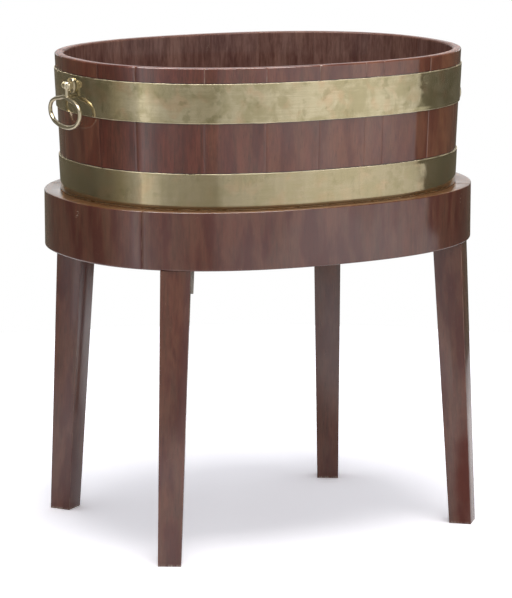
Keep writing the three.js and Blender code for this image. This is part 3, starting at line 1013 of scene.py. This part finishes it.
@dataclass
class Cooler:
    """The coopered tub: staves, bottom boards and brass hoops."""

    oval: Oval = Oval(280 * MM, 219 * MM)
    ledge: float = 481.5 * MM
    foot: float = 451.5 * MM
    rim: float = 672 * MM
    slope: float = WALL_SLOPE
    thickness: float = 12.5 * MM
    rim_rounding: float = 3 * MM
    rim_corners: float = 0.45
    chime_bevel: float = 3 * MM
    chime_corner: float = 0.8
    stave_edge: float = 0.12 * MM
    croze_foot: float = 465.2 * MM
    croze_top: float = 477.8 * MM
    croze_depth: float = 4 * MM
    gap: float = 0.3 * MM
    joint_gap: float = 0.05 * MM
    hoop_thickness: float = 1.6 * MM
    hoop_break: float = 0.5 * MM
    hoop_cuts: tuple[int, int] = (20, 19)
    hoop_rows: int = 8
    hoop_seed: int = 40
    dent_size: float = 45 * MM
    dent_depth: float = 0.6 * MM
    lip_wave_size: float = 20 * MM
    lip_wave_depth: float = 0.7 * MM
    facet: float = 4 * MM
    hoops: tuple[Hoop, ...] = (
        Hoop("upper_hoop", 598 * MM, 651 * MM, paint(197, 185, 153), 0.7, 0.6, 0.12, False),
        Hoop("lower_hoop", 481.8 * MM, 530.5 * MM, paint(178, 165, 135), 0.45, 0.35, 0.08, True),
    )
    joints: tuple[float, ...] = (
        0.014, 0.067, 0.12, 0.172, 0.225, 0.281, 0.331, 0.383, 0.43, 0.475,
        0.534, 0.571, 0.625, 0.676, 0.728, 0.779, 0.8, 0.857, 0.907, 0.964,
    )
    tones: tuple[float, ...] = (
        0.5, 0.35, 0.6, 0.4, 0.5, 0.3, 0.55, 0.45, 0.35, 0.4,
        0.12, 0.16, 0.34, 0.44, 0.5, 0.62, 0.52, 0.9, 0.5, 0.45,
    )

    def offset(self, height: float) -> float:
        """How far the outer face stands outside the oval at a height."""
        return self.slope * (height - self.ledge)

    def finish(self) -> StaveMahogany:
        """The staves' finish."""
        return StaveMahogany(
            "polished_staves", paint(56, 21, 17), paint(104, 45, 34), paint(132, 84, 58),
            redness=0.55, gloss_blur=0.05, rim=self.rim,
            hoop_edges=tuple(edge for hoop in self.hoops for edge in (hoop.foot, hoop.top)),
            slope=self.slope, slope_foot=self.ledge, thickness=self.thickness,
        )

    def lean_out(self, piece: Piece, foot: float, top: float) -> None:
        """Leans an open section outwards with the tub's wall.

        Args:
            piece: The section.
            foot: Height of its foot.
            top: Height of its top.
        """
        for level in (foot, top):
            Bench.pick(piece, "VERT", lambda v: abs(v.co.z - level) < NEAR)
            bpy.ops.transform.translate(value=(0, self.offset(level), 0))

    def stave(self, index: int, former: Former) -> Piece:
        """Makes one stave: croze, chime bevel and rounded rim, bent to the oval.

        Args:
            index: Place of the stave, from 0.
            former: The tub's former.

        Returns:
            The stave.
        """
        last = self.joints[(index + 1) % len(self.joints)]
        low, high = former.span(self.joints[index], last, self.joint_gap)
        piece = Bench.section(f"polished_stave_{index + 1:02d}", -self.thickness, 0, self.foot, self.rim)
        Bench.edit(piece)
        self.lean_out(piece, self.foot, self.rim)
        for level in (self.croze_foot, self.croze_top):
            Bench.cut((0, 0, level), (0, 0, 1))
        groove = self.croze_depth - self.thickness + self.offset(self.croze_foot)
        Bench.cut((0, groove, 0), (0, 1, 0))
        Bench.pick(piece, "FACE", lambda f: self.croze_foot < f.calc_center_median().z < self.croze_top
                   and f.calc_center_median().y < groove)
        bpy.ops.mesh.delete(type="FACE")
        middle = self.offset(self.rim) - self.thickness / 2
        Bench.pick(piece, "VERT", lambda v: v.co.z > self.rim - NEAR
                   and abs(v.co.y - middle) > self.thickness * self.rim_corners)
        bpy.ops.mesh.bevel(offset=self.rim_rounding, segments=ROUNDING_STEPS, affect="VERTICES")
        Bench.pick(piece, "VERT", lambda v: v.co.z < self.foot + NEAR
                   and v.co.y < -self.thickness * self.chime_corner)
        bpy.ops.mesh.bevel(offset=self.chime_bevel, segments=1, affect="VERTICES")
        Bench.run(piece, low, high, (max(3, round((high - low) / self.facet)),))
        Bench.leave()
        Bench.soften(piece, self.stave_edge)
        mark(piece, index + 1, self.tones[index], (low, high))
        former.bend(piece)
        Bench.smooth(piece)
        return piece

    def hoop(self, hoop: Hoop, former: Former) -> Piece:
        """Makes one hoop, with hammered faces and uneven lips.

        Args:
            hoop: Which hoop.
            former: The tub's former.

        Returns:
            The hoop.
        """
        piece = Bench.section(f"hammered_{hoop.name}", self.gap, self.gap + self.hoop_thickness,
                              hoop.foot, hoop.top)
        middle = self.gap + self.hoop_thickness / 2
        Bench.edit(piece)
        self.lean_out(piece, hoop.foot, hoop.top)
        Bench.pick(piece, "VERT", lambda v: v.co.y > middle + self.offset(v.co.z))
        bpy.ops.mesh.bevel(offset=self.hoop_break, segments=3, affect="VERTICES")
        Bench.run(piece, 0, former.length, self.hoop_cuts)
        Bench.pick(piece, "FACE", lambda f: abs(f.normal.x) > FACING)
        bpy.ops.mesh.delete(type="FACE")
        for row in range(1, self.hoop_rows):
            Bench.cut((0, 0, hoop.foot + (hoop.top - hoop.foot) * row / self.hoop_rows), (0, 0, 1))
        Bench.leave()
        mark(piece, self.hoop_seed, 0.5)
        former.bend(piece)
        Bench.weld(piece)
        outer = piece.vertex_groups.new(name="outer")
        outer.add([v.index for v in piece.data.vertices if self.beyond(v.co, middle)], 1.0, "REPLACE")
        Bench.ripple(piece, "dents", self.dent_size, self.dent_depth, "NORMAL", "outer")
        Bench.ripple(piece, "lips", self.lip_wave_size, self.lip_wave_depth, "Z")
        Bench.smooth(piece, 40)
        return piece

    def beyond(self, place: Vector, offset: float) -> bool:
        """Tells the outer side of a hoop from its inner side.

        Args:
            place: A place on the hoop.
            offset: A distance from the tub's wall.

        Returns:
            Whether the place stands further out than that.
        """
        out, oval = offset + self.offset(place.z), self.oval
        x, y = (w * half / (half + out) for w, half in zip(place, (oval.half_length, oval.half_depth)))
        return oval.level(x, y) > 1

    def build(self) -> None:
        """Makes and dresses the whole tub."""
        former = Former("tub_former", self.oval, self.joints[0])
        wood = self.finish()
        for index in range(len(self.joints)):
            hand_over(self.stave(index, former), wood, Body.COOLER, SlotName.COOLER, f"stave_{index + 1:02d}")
        for hoop in self.hoops:
            piece = self.hoop(hoop, former)
            hand_over(piece, hoop.finish(), Body.COOLER, SlotName.AGED_BRASS, hoop.name)
        former.clear()
        boards = DryWood("bottom_boards", paint(58, 40, 32), paint(104, 78, 60), Axis.LENGTHWISE)
        for number in (1, 2, 3):
            boards.dress(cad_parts[f"bottom_board_{number}"])


@dataclass
class Handle:
    """A bail handle: a dished rose with two cheeks, a pin, and a loop that swings on it."""

    side: int
    reach: float = 297.07 * MM
    height: float = 636.5 * MM
    tilt: float = math.atan(WALL_SLOPE)
    knuckle_radius: float = 5.6 * MM
    standoff: float = 8.2 * MM
    neck_radius: float = 2.8 * MM
    half_width: float = 47 * MM
    side_shift: float = -7 * MM
    drop: float = 57.5 * MM
    wire_top: float = 2.5 * MM
    wire_foot: float = 3.1 * MM
    casting_grain: float = 0.55 * MM
    rose_radius: float = 11.3 * MM
    rose_thickness: float = 1.8 * MM
    rose_border: float = 0.5 * MM
    rose_lip: float = 0.9 * MM
    rose_dish: float = 1.5 * MM
    rose_edge: float = 0.3 * MM
    cheek_thickness: float = 2.4 * MM
    cheek_radius: float = 4.6 * MM
    cheek_gap: float = 0.4 * MM
    cheek_edge: float = 0.35 * MM
    cheek_roundness: float = 0.98
    pin_radius: float = 1.5 * MM
    pin_overhang: float = 0.3 * MM
    head_growth: float = 1.73
    dome: tuple[Span, ...] = ((0.55 * MM, 0.92), (0.35 * MM, 0.7), (0.18 * MM, 0.5))
    loop: tuple[Span, ...] = (
        (0, 0.28), (0.31, 0.325), (0.69, 0.385), (0.95, 0.51), (1, 0.68), (0.84, 0.85), (0.49, 0.96), (0, 1),
    )

    @property
    def name(self) -> str:
        """Which side the handle is on."""
        return "left" if self.side < 0 else "right"

    @property
    def cheek_near(self) -> float:
        """How far a cheek's inner face is from the loop's middle."""
        return self.knuckle_radius + self.cheek_gap

    @property
    def cheek_far(self) -> float:
        """How far a cheek's outer face is from the loop's middle."""
        return self.cheek_near + self.cheek_thickness

    def place(self, piece: Piece, tilt: float = 0) -> Piece:
        """Moves a piece from the handle's own frame, where +X is outward, onto the hoop.

        Args:
            piece: The piece.
            tilt: How far it leans with the wall.

        Returns:
            The piece.
        """
        turn = Matrix.Rotation(math.pi if self.side < 0 else 0, 4, "Z") @ Matrix.Rotation(tilt, 4, "Y")
        piece.matrix_world = Matrix.Translation((self.side * self.reach, 0, self.height)) @ turn
        Bench.settle(piece)
        return piece

    def wire(self) -> Piece:
        """Makes the loop of wire, thicker at its foot.

        Returns:
            The wire.
        """
        Bench.clear()
        bpy.ops.curve.primitive_bezier_circle_add(radius=self.half_width)
        wire = bpy.context.object
        half = [Vector((0, y * self.half_width, -z * self.drop)) for y, z in self.loop]
        points = half + [Vector((0, -p.y, p.z)) for p in reversed(half[1:-1])]
        knots = wire.data.splines[0].bezier_points
        knots.add(len(points) - len(knots))
        for knot, point in zip(knots, points):
            knot.co = point + Vector((0, self.side_shift, 0))
            knot.handle_left_type = knot.handle_right_type = "AUTO"
            knot.radius = self.wire_top - (self.wire_foot - self.wire_top) * point.z / self.drop
        for key, value in {"dimensions": "3D", "resolution_u": 10, "bevel_depth": 1.0,
                           "bevel_resolution": 5, "use_fill_caps": True}.items():
            setattr(wire.data, key, value)
        bpy.ops.object.convert(target="MESH")
        return bpy.context.object

    def bail(self) -> Piece:
        """Makes the swinging loop with its neck and ball knuckle.

        Returns:
            The bail.
        """
        wire = self.wire()
        neck_length = self.loop[0][1] * self.drop
        neck = Bench.add("neck", bpy.ops.mesh.primitive_cylinder_add, radius=self.neck_radius,
                         depth=neck_length, location=(0, 0, -neck_length / 2))
        ball = Bench.add("ball", bpy.ops.mesh.primitive_uv_sphere_add, segments=40, ring_count=24,
                         radius=self.knuckle_radius)
        piece = Bench.join(f"cast_{self.name}_bail", [wire, neck, ball])
        Bench.finish(piece, "REMESH", mode="VOXEL", voxel_size=self.casting_grain)
        Bench.finish(piece, "SMOOTH", factor=0.5, iterations=4)
        Bench.smooth(piece, 60)
        return self.place(piece)

    def rose(self) -> Piece:
        """Makes the dished rose.

        Returns:
            The rose.
        """
        rose = Bench.add("rose", bpy.ops.mesh.primitive_cylinder_add, vertices=64, radius=self.rose_radius,
                         depth=self.rose_thickness, rotation=(0, math.pi / 2, 0),
                         location=(-self.standoff + self.rose_thickness / 2, 0, 0))
        Bench.edit(rose)
        Bench.pick(rose, "FACE", lambda f: f.normal.x > FACING)
        bpy.ops.mesh.inset(thickness=self.rose_border)
        bpy.ops.mesh.inset(thickness=self.rose_border)
        Bench.pull(self.rose_lip, 0, 0)
        bpy.ops.mesh.inset(thickness=self.rose_lip)
        Bench.pull(-self.rose_lip, 0, 0)
        bpy.ops.mesh.inset(thickness=self.rose_dish)
        Bench.leave()
        Bench.soften(rose, self.rose_edge, 3, 30)
        return rose

    def cheek(self, side: int) -> Piece:
        """Makes one cheek, rounded at its free end.

        Args:
            side: -1 or 1 along Y.

        Returns:
            The cheek.
        """
        near, far = sorted((side * self.cheek_near, side * self.cheek_far))
        cheek = Bench.block("cheek", (-self.standoff + self.rose_thickness / 2, near, -self.cheek_radius),
                            (self.cheek_radius, far, self.cheek_radius))
        Bench.edit(cheek)
        Bench.pick(cheek, "EDGE", lambda e: all(v.co.x > self.cheek_radius - NEAR for v in e.verts)
                   and abs(e.verts[0].co.z - e.verts[1].co.z) < NEAR)
        bpy.ops.mesh.bevel(offset=self.cheek_radius * self.cheek_roundness, segments=10)
        Bench.leave()
        Bench.soften(cheek, self.cheek_edge, 3)
        return cheek

    def bracket(self) -> Piece:
        """Joins the rose and its two cheeks.

        Returns:
            The bracket.
        """
        piece = Bench.join(f"cast_{self.name}_bracket", [self.rose(), self.cheek(-1), self.cheek(1)])
        Bench.smooth(piece, 45)
        return self.place(piece, self.tilt)

    def pin(self) -> Piece:
        """Makes the pin with its two domed heads.

        Returns:
            The pin.
        """
        piece = Bench.add(f"cast_{self.name}_pin", bpy.ops.mesh.primitive_cylinder_add,
                          radius=self.pin_radius, depth=2 * (self.cheek_far + self.pin_overhang),
                          rotation=(math.pi / 2, 0, 0))
        Bench.edit(piece)
        for side in (-1, 1):
            centre = (0, side * self.cheek_far, 0)
            Bench.pick(piece, "FACE", lambda f: f.normal.y * side > FACING)
            for step, share in ((0, self.head_growth), *self.dome):
                Bench.pull(0, side * step, 0)
                bpy.ops.transform.resize(value=(share, 1, share), center_override=centre)
        Bench.face_out()
        Bench.leave()
        Bench.smooth(piece, 50)
        return self.place(piece, self.tilt)

    def build(self, finish: Brass) -> None:
        """Makes and dresses the handle.

        Args:
            finish: Its brass.
        """
        swing = Body.LEFT_HANDLE if self.side < 0 else Body.RIGHT_HANDLE
        for part, make, body in (("bail", self.bail, swing), ("bracket", self.bracket, Body.COOLER),
                                 ("pin", self.pin, Body.COOLER)):
            hand_over(make(), finish, body, SlotName.CAST_BRASS, f"{self.name}_{part}")


@dataclass(frozen=True)
class Stance:
    """How one leg stands: its place round the oval, twist, splay and the splay's swing, as shares."""

    name: str
    side_x: int
    side_y: int
    place: float
    twist: float
    splay: float
    swing: float
    tone: float = 0.5

    def turned(self, way: Vector, share: float) -> Vector:
        """A direction of the first quarter turned by a share of a turn, then moved to this leg's quarter."""
        moved = Matrix.Rotation(share * FULL_TURN, 3, "Z") @ way
        return Vector((moved.x * self.side_x, moved.y * self.side_y, moved.z))


@dataclass
class Stand:
    """The oval frame: four curved rails, four splayed legs, two bearers and a knee block."""

    tub: Oval = Oval(280.8 * MM, 219.8 * MM)
    oval: Oval = Oval(304.9 * MM, 237.9 * MM)
    top: float = 481.5 * MM
    apron_foot: float = 402.5 * MM
    seat: float = 451.2 * MM
    gap: float = 0.3 * MM
    blank: float = 20 * MM
    least_wall: float = 5 * MM
    most_wall: float = 60 * MM
    halvings: int = 30
    top_rounding: float = 1.8 * MM
    foot_rounding: float = 2.5 * MM
    rail_edge: float = 0.4 * MM
    knee_depth: float = 29 * MM
    knee_toe: float = 3 * MM
    knee_rise: float = 36 * MM
    knee_drop: float = 38 * MM
    knee_proud: float = 3.2 * MM
    knee_edge: float = 0.6 * MM
    rail_turn: float = 0.082
    leg_top: float = 40.6 * MM
    leg_foot: float = 31.5 * MM
    leg_rounding: float = 2 * MM
    leg_recess: float = 2.5 * MM
    tongue_gap: float = 1.2 * MM
    splay: float = 22 * MM
    facet: float = 4 * MM
    stances: tuple[Stance, ...] = (
        Stance("front_left_leg", -1, -1, 0.1048, 0.025, 1.06, 0),
        Stance("front_right_leg", 1, -1, 0.0962, -0.011, 1.18, 0.083),
        Stance("back_left_leg", -1, 1, 0.1082, 0.007, 0.97, -0.015, 0.45),
        Stance("back_right_leg", 1, 1, 0.1107, 0.014, -0.62, 0.087),
    )
    scuffs: tuple[Scuff, ...] = (
        Scuff((-0.303, -0.038, 0.468), 9 * MM, 0.8), Scuff((0.222, -0.180, 0.468), 8 * MM, 0.7),
    )
    rubs: tuple[Scuff, ...] = (Scuff((0.226, -0.191, 0.070), 24 * MM, 0.8),)

    def finish(self) -> StandMahogany:
        """The stand's finish."""
        return StandMahogany(
            "polished_stand", paint(56, 24, 18), paint(97, 44, 33), paint(116, 76, 56),
            redness=0.75, gloss_blur=0.13, scuffs=self.scuffs, rubs=self.rubs, ledge=self.top,
        )

    def wall(self, turn: float) -> float:
        """Finds the apron's thickness along the outer oval's normal by halving.

        Args:
            turn: Where on the oval.

        Returns:
            The thickness.
        """
        low, high = self.least_wall, self.most_wall
        for _ in range(self.halvings):
            middle = (low + high) / 2
            place = self.oval.point(turn, -middle)
            low, high = (middle, high) if self.tub.level(place.x, place.y) > 1 else (low, middle)
        return low

    def rail(self, name: str, first: float, last: float, seed: int, tone: float, former: Former) -> Piece:
        """Makes one curved rail with rounded outer edges, scribed round the tub.

        Args:
            name: Name of the CAD node.
            first: Turn where the rail starts, anticlockwise.
            last: Turn where it ends.
            seed: Shift of its grain.
            tone: How light it is.
            former: The stand's former.

        Returns:
            The rail.
        """
        low, high = former.span(first, last, self.gap)
        piece = Bench.section(f"shaped_{name}", -self.blank, 0, self.apron_foot, self.top)
        Bench.edit(piece)
        for level, rounding in ((self.top, self.top_rounding), (self.apron_foot, self.foot_rounding)):
            Bench.pick(piece, "VERT", lambda v: abs(v.co.z - level) < NEAR and v.co.y > -NEAR)
            bpy.ops.mesh.bevel(offset=rounding, segments=ROUNDING_STEPS, affect="VERTICES")
        Bench.run(piece, low, high, (max(3, round((high - low) / self.facet)),))
        Bench.leave()
        for corner in piece.data.vertices:
            if corner.co.y < -self.blank + NEAR:
                corner.co.y = -self.wall(former.turn(corner.co.x))
        Bench.soften(piece, self.rail_edge)
        mark(piece, seed, tone, (low, high))
        former.bend(piece)
        Bench.smooth(piece)
        return piece

    def leg(self, stance: Stance, seed: int) -> Piece:
        """Makes one tapering, splayed leg with a tongue behind the apron.

        Args:
            stance: How the leg stands.
            seed: Shift of its grain.

        Returns:
            The leg.
        """
        half = self.leg_top / 2
        shoulder = self.apron_foot - self.gap
        piece = Bench.block(f"shaped_{stance.name}", (-half, -half, 0), (half, half, shoulder))
        skew = -stance.twist * stance.side_x * stance.side_y * FULL_TURN
        back = Vector((-math.sin(skew), math.cos(skew), 0))
        tongue = self.wall(stance.place) - self.leg_recess - half + self.tongue_gap
        Bench.edit(piece)
        Bench.cut(back * -tongue, back)
        Bench.pick(piece, "FACE", lambda f: f.normal.z > FACING
                   and f.calc_center_median().dot(back) < -tongue)
        Bench.pull(0, 0, self.seat - shoulder)
        Bench.cut((0, 0, 0), (1, 0, 0))
        Bench.cut((0, 0, 0), (0, 1, 0))
        shrink = self.leg_foot / self.leg_top
        Bench.pick(piece, "VERT", lambda v: v.co.z < NEAR)
        bpy.ops.transform.resize(value=(shrink, shrink, 1), center_override=(0, 0, 0))
        Bench.leave()
        Bench.soften(piece, self.leg_rounding, 4)
        mark(piece, seed, stance.tone)
        wear = piece.data.attributes["joint"]
        for corner in piece.data.vertices:
            size = half * (1 - (1 - shrink) * (1 - min(corner.co.z / shoulder, 1)))
            edge = max(size - abs(corner.co.x), size - abs(corner.co.y))
            wear.data[corner.index].value = 1.0 if corner.co.z > shoulder else max(edge, 0.0)
        return self.set_up(piece, stance)

    def set_up(self, piece: Piece, stance: Stance) -> Piece:
        """Puts a leg's straight work in its place, turned and splayed.

        Args:
            piece: The straight work, upright at the origin.
            stance: How the leg stands.

        Returns:
            The piece.
        """
        centre = self.oval.point(stance.place, -self.leg_recess - self.leg_top / 2)
        outward = stance.turned(self.oval.normal(stance.place), stance.twist)
        turn = Matrix.Rotation(math.atan2(outward.y, outward.x) - math.pi / 2, 4, "Z")
        piece.matrix_world = Matrix.Translation(stance.turned(centre, 0)) @ turn
        Bench.settle(piece)
        shift = stance.turned(centre.normalized(), stance.swing) * self.splay * stance.splay
        for corner in piece.data.vertices:
            corner.co += shift * max(0.0, 1 - corner.co.z / self.apron_foot)
        Bench.smooth(piece, 40)
        return piece

    def knee(self, stance: Stance) -> Piece:
        """Makes the block glued behind one leg, which tapers below the apron.

        Args:
            stance: How that leg stands.

        Returns:
            The block.
        """
        half, foot = self.leg_top / 2, self.apron_foot - self.gap
        low, high = foot - self.knee_drop, foot + self.knee_rise
        face = -half - 2 * self.gap
        piece = Bench.block("shaped_knee_block", (-half, face - self.knee_depth, low), (half, face, high))
        Bench.edit(piece)
        for level in (foot, foot + self.gap):
            Bench.cut((0, 0, level), (0, 0, 1))
        Bench.pick(piece, "VERT", lambda v: v.co.z < low + NEAR and v.co.y < face - NEAR)
        bpy.ops.transform.translate(value=(0, self.knee_depth - self.knee_toe, 0))
        Bench.pick(piece, "VERT", lambda v: v.co.z < foot + NEAR and v.co.x < 0)
        bpy.ops.transform.translate(value=(-self.knee_proud, 0, 0))
        Bench.leave()
        Bench.soften(piece, self.knee_edge)
        return self.set_up(piece, stance)

    def build(self) -> None:
        """Makes and dresses the whole stand."""
        wood = self.finish()
        turn = self.rail_turn
        former = Former("stand_former", self.oval, -turn)
        rails = {
            "right_rail": (-turn, turn, 21, 0.5), "back_rail": (turn, 0.5 - turn, 22, 0.4),
            "left_rail": (0.5 - turn, 0.5 + turn, 23, 0.4), "front_rail": (0.5 + turn, 1 - turn, 24, 0.45),
        }
        for name, values in rails.items():
            hand_over(self.rail(name, *values, former), wood, Body.STAND, SlotName.STAND, name)
        former.clear()
        for seed, stance in enumerate(self.stances, 31):
            hand_over(self.leg(stance, seed), wood, Body.STAND, SlotName.STAND, stance.name)
        bearers = DryWood("bearer_wood", paint(70, 48, 38), paint(120, 90, 68), Axis.CROSSWISE)
        for name in ("left_bearer", "right_bearer"):
            bearers.dress(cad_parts[name])
        block = DryWood("block_wood", paint(140, 132, 122), paint(196, 190, 180), Axis.UPRIGHT)
        hand_over(self.knee(self.stances[0]), block, Body.STAND, SlotName.PALE, "knee_block")


@dataclass(frozen=True)
class Lamp:
    """A soft panel: how far it hangs towards the camera, to the right and up, and the height it faces."""

    name: str
    ahead: float
    right: float
    height: float
    aim: float
    size: Span
    radiance: float
    colour: tuple[float, float, float]


@dataclass
class Studio:
    """Plain floor, soft light and the camera of the reference view."""

    turn: float = -0.5
    distance: float = 4.2
    height: float = 1.11
    pitch: float = 0.187
    focal: float = 3009.1
    picture: tuple[int, int] = (512, 598)
    centre: Span = (259.28, 299.0)
    floor_radius: float = 1.4
    floor_plain: Colour = (0.8, 0.8, 0.8, 1)
    floor_seen: Colour = (1.56, 1.55, 1.62, 1)
    floor_near: Colour = (0.95, 0.92, 0.92, 1)
    floor_far: Colour = (0.6, 0.59, 0.59, 1)
    white: Colour = (1, 1, 1, 1)
    dim_colour: Colour = (1, 0.9, 0.68, 1)
    ambient_colour: Colour = (0.97, 0.98, 1, 1)
    ambient: float = 0.59
    lamps: tuple[Lamp, ...] = (
        Lamp("overhead_panel", 0.42, 0.14, 2.35, 0.4, (1.25, 1.15), 7.1, (1, 0.985, 0.96)),
        Lamp("front_panel", 2.80823, 0.35103, 1.6, 0.45, (1.6, 1.6), 1.7, (1, 0.99, 0.97)),
    )
    room: tuple[Span, ...] = (
        (-180, 0.16), (-160, 0.12), (-141, 0.09), (-116, 0.17), (-105, 0.33), (-94, 0.5), (-88, 0.62),
        (-83, 0.72), (-82, 1.25), (-75, 1.05), (-62, 0.63), (-48, 0.52), (-28, 0.45), (-24, 0.46),
        (-22, 0.67), (-10, 0.78), (5, 0.91), (14, 1.03), (30, 1.2), (42, 1.2), (52, 1.08), (60, 0.92),
        (66, 0.82), (66.6, 0.14), (85, 0.12), (94, 0.09), (110, 0.1), (180, 0.16),
    )

    @property
    def ahead(self) -> Vector:
        """Level direction towards the camera."""
        return Vector((math.sin(self.turn), -math.cos(self.turn), 0))

    @property
    def right(self) -> Vector:
        """Level direction to the camera's right."""
        return Vector((math.cos(self.turn), math.sin(self.turn), 0))

    def camera(self) -> None:
        """Adds the camera."""
        long_side = max(self.picture)
        data = bpy.data.cameras.new("reference_camera")
        data.sensor_fit = "AUTO"
        data.sensor_width = 36
        data.lens = self.focal / long_side * data.sensor_width
        data.shift_x = (self.picture[0] / 2 - self.centre[0]) / long_side
        data.shift_y = (self.centre[1] - self.picture[1] / 2) / long_side
        data.clip_end = 100
        camera = bpy.data.objects.new("reference_camera", data)
        camera.location = self.ahead * self.distance + Vector((0, 0, self.height))
        camera.rotation_euler = (math.pi / 2 - self.pitch, 0, self.turn)
        bpy.context.collection.objects.link(camera)
        bpy.context.scene.camera = camera

    def hang(self, lamp: Lamp) -> None:
        """Hangs one lamp, which neither the camera nor glossy surfaces see.

        Args:
            lamp: The lamp.
        """
        data = bpy.data.lights.new(lamp.name, "AREA")
        data.shape = "RECTANGLE"
        data.size, data.size_y = lamp.size
        data.energy = math.pi * lamp.size[0] * lamp.size[1] * lamp.radiance
        data.color = lamp.colour
        panel = bpy.data.objects.new(lamp.name, data)
        panel.location = self.ahead * lamp.ahead + self.right * lamp.right + Vector((0, 0, lamp.height))
        panel.rotation_euler = (Vector((0, 0, lamp.aim)) - panel.location).to_track_quat("-Z", "Y").to_euler()
        panel.visible_glossy = panel.visible_camera = False
        bpy.context.collection.objects.link(panel)

    def floor(self) -> None:
        """Adds the white floor, which keeps the object's shadow."""
        floor = Bench.add("studio_floor", bpy.ops.mesh.primitive_circle_add, vertices=96,
                          radius=self.floor_radius, fill_type="NGON")
        made = bpy.data.materials.new("studio_floor")
        web = Web.fresh(made)
        path = web.add("LightPath").outputs
        # Glossy rays see the floor painted pale near the middle and darker towards its edge: painted shade,
        # as if its light fell off.
        away = web.distance(web.add("TexCoord").outputs["Object"], (0, 0, 0))
        far = web.clamp(away, 0.7, self.floor_radius)
        mirrored = web.blend(far, self.floor_near, self.floor_far)
        colour = web.blend(path["Is Glossy Ray"], self.floor_plain, mirrored)
        colour = web.blend(path["Is Camera Ray"], colour, self.floor_seen)
        matt = web.add("BsdfDiffuse", {"Color": colour})
        web.add("OutputMaterial", {"Surface": matt.outputs[0]})
        floor.data.materials.append(made)

    def walls(self, web: Web, turn: Socket, rise: Socket) -> Socket:
        """Level of the room's walls: the table round the object, dark above, with a leaning right edge.

        Args:
            web: The world's tree.
            turn: Turn of the ray from the front, in degrees.
            rise: Rise of the ray, in degrees.

        Returns:
            The level.
        """
        late = web.times(web.clamp(rise, -12.2, -9.5, (11, 0)), web.clamp(turn, 50, 64))
        level = web.ramp(web.less(turn, late), -180, 180, self.room)
        return web.math("MAXIMUM", web.times(level, web.clamp(rise, 28, 40, (1, 0))), 0.05)

    def backdrop(self, web: Web, turn: Socket, rise: Socket) -> Socket:
        """Level of the bright backdrop behind the object.

        Args:
            web: The world's tree.
            turn: Turn of the ray from the front, in degrees.
            rise: Rise of the ray, in degrees.

        Returns:
            The level.
        """
        off = web.apart(turn, math.degrees(math.pi + self.turn))
        return web.times(web.clamp(off, 22, 34, (1, 0)), web.clamp(rise, 1, 4),
                         web.clamp(rise, 6.5, 9.5, (1.3, 0.9)))

    def strip(self, web: Web, x: Socket, y: Socket, rise: Socket) -> Socket:
        """Level of the long bright strip overhead that the rim shows.

        Args:
            web: The world's tree.
            x: X of the ray.
            y: Y of the ray.
            rise: Rise of the ray, in degrees.

        Returns:
            The level.
        """
        near = web.total((y, self.ahead.y), (x, self.ahead.x))
        side = web.total((y, self.right.y), (x, self.right.x))
        return web.times(web.clamp(web.apart(near, 0.1), 0.14, 0.22, (14, 0)),
                         web.clamp(web.apart(side, -0.06), 0.45, 0.62, (1, 0)), web.clamp(rise, 20, 30))

    def world(self) -> None:
        """Sets the white surround, and the room that glossy surfaces mirror."""
        world = bpy.context.scene.world = bpy.data.worlds.new("studio")
        web = Web.fresh(world)
        path = web.add("LightPath").outputs
        x, y, z = web.add("SeparateXYZ", {0: web.add("TexCoord").outputs["Generated"]}).outputs
        turn = web.math("DEGREES", web.math("ARCTAN2", x, web.times(y, -1.0)))
        rise = web.math("DEGREES", web.math("ARCSINE", z))
        level = web.math("MAXIMUM", self.walls(web, turn, rise), self.backdrop(web, turn, rise))
        level = web.math("MAXIMUM", level, self.strip(web, x, y, rise))
        warmth = web.blend(web.clamp(level, 0.25, 0.6), self.dim_colour, self.white)
        mirrored, ambient, seen = (
            web.add("Background", {"Color": colour, "Strength": strength}).outputs[0]
            for colour, strength in ((warmth, level), (self.ambient_colour, self.ambient), (self.white, 1.0))
        )
        shown = web.math("MAXIMUM", path["Is Camera Ray"], path["Is Transmission Ray"])
        lit = web.add("MixShader", {0: path["Is Glossy Ray"], 1: ambient, 2: mirrored})
        surround = web.add("MixShader", {0: shown, 1: lit.outputs[0], 2: seen})
        web.add("OutputWorld", {"Surface": surround.outputs[0]})

    def build(self) -> None:
        """Sets up camera, lamps, floor and surround."""
        bpy.context.scene.view_settings.view_transform = "Standard"
        self.camera()
        for lamp in self.lamps:
            self.hang(lamp)
        self.floor()
        self.world()


def main() -> None:
    """Builds the studio and the whole cellarette."""
    logging.basicConfig(level=logging.INFO, format="%(name)s: %(message)s")
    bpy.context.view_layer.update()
    Studio().build()
    Cooler().build()
    handle_brass = Brass("cast_brass", paint(196, 174, 128), paint(190, 152, 106), paint(132, 116, 76),
                         roughness=0.17, patina=0.75, dents=0.12)
    for side in (-1, 1):
        Handle(side).build(handle_brass)
    Stand().build()


if __name__ == "__main__":
    main()
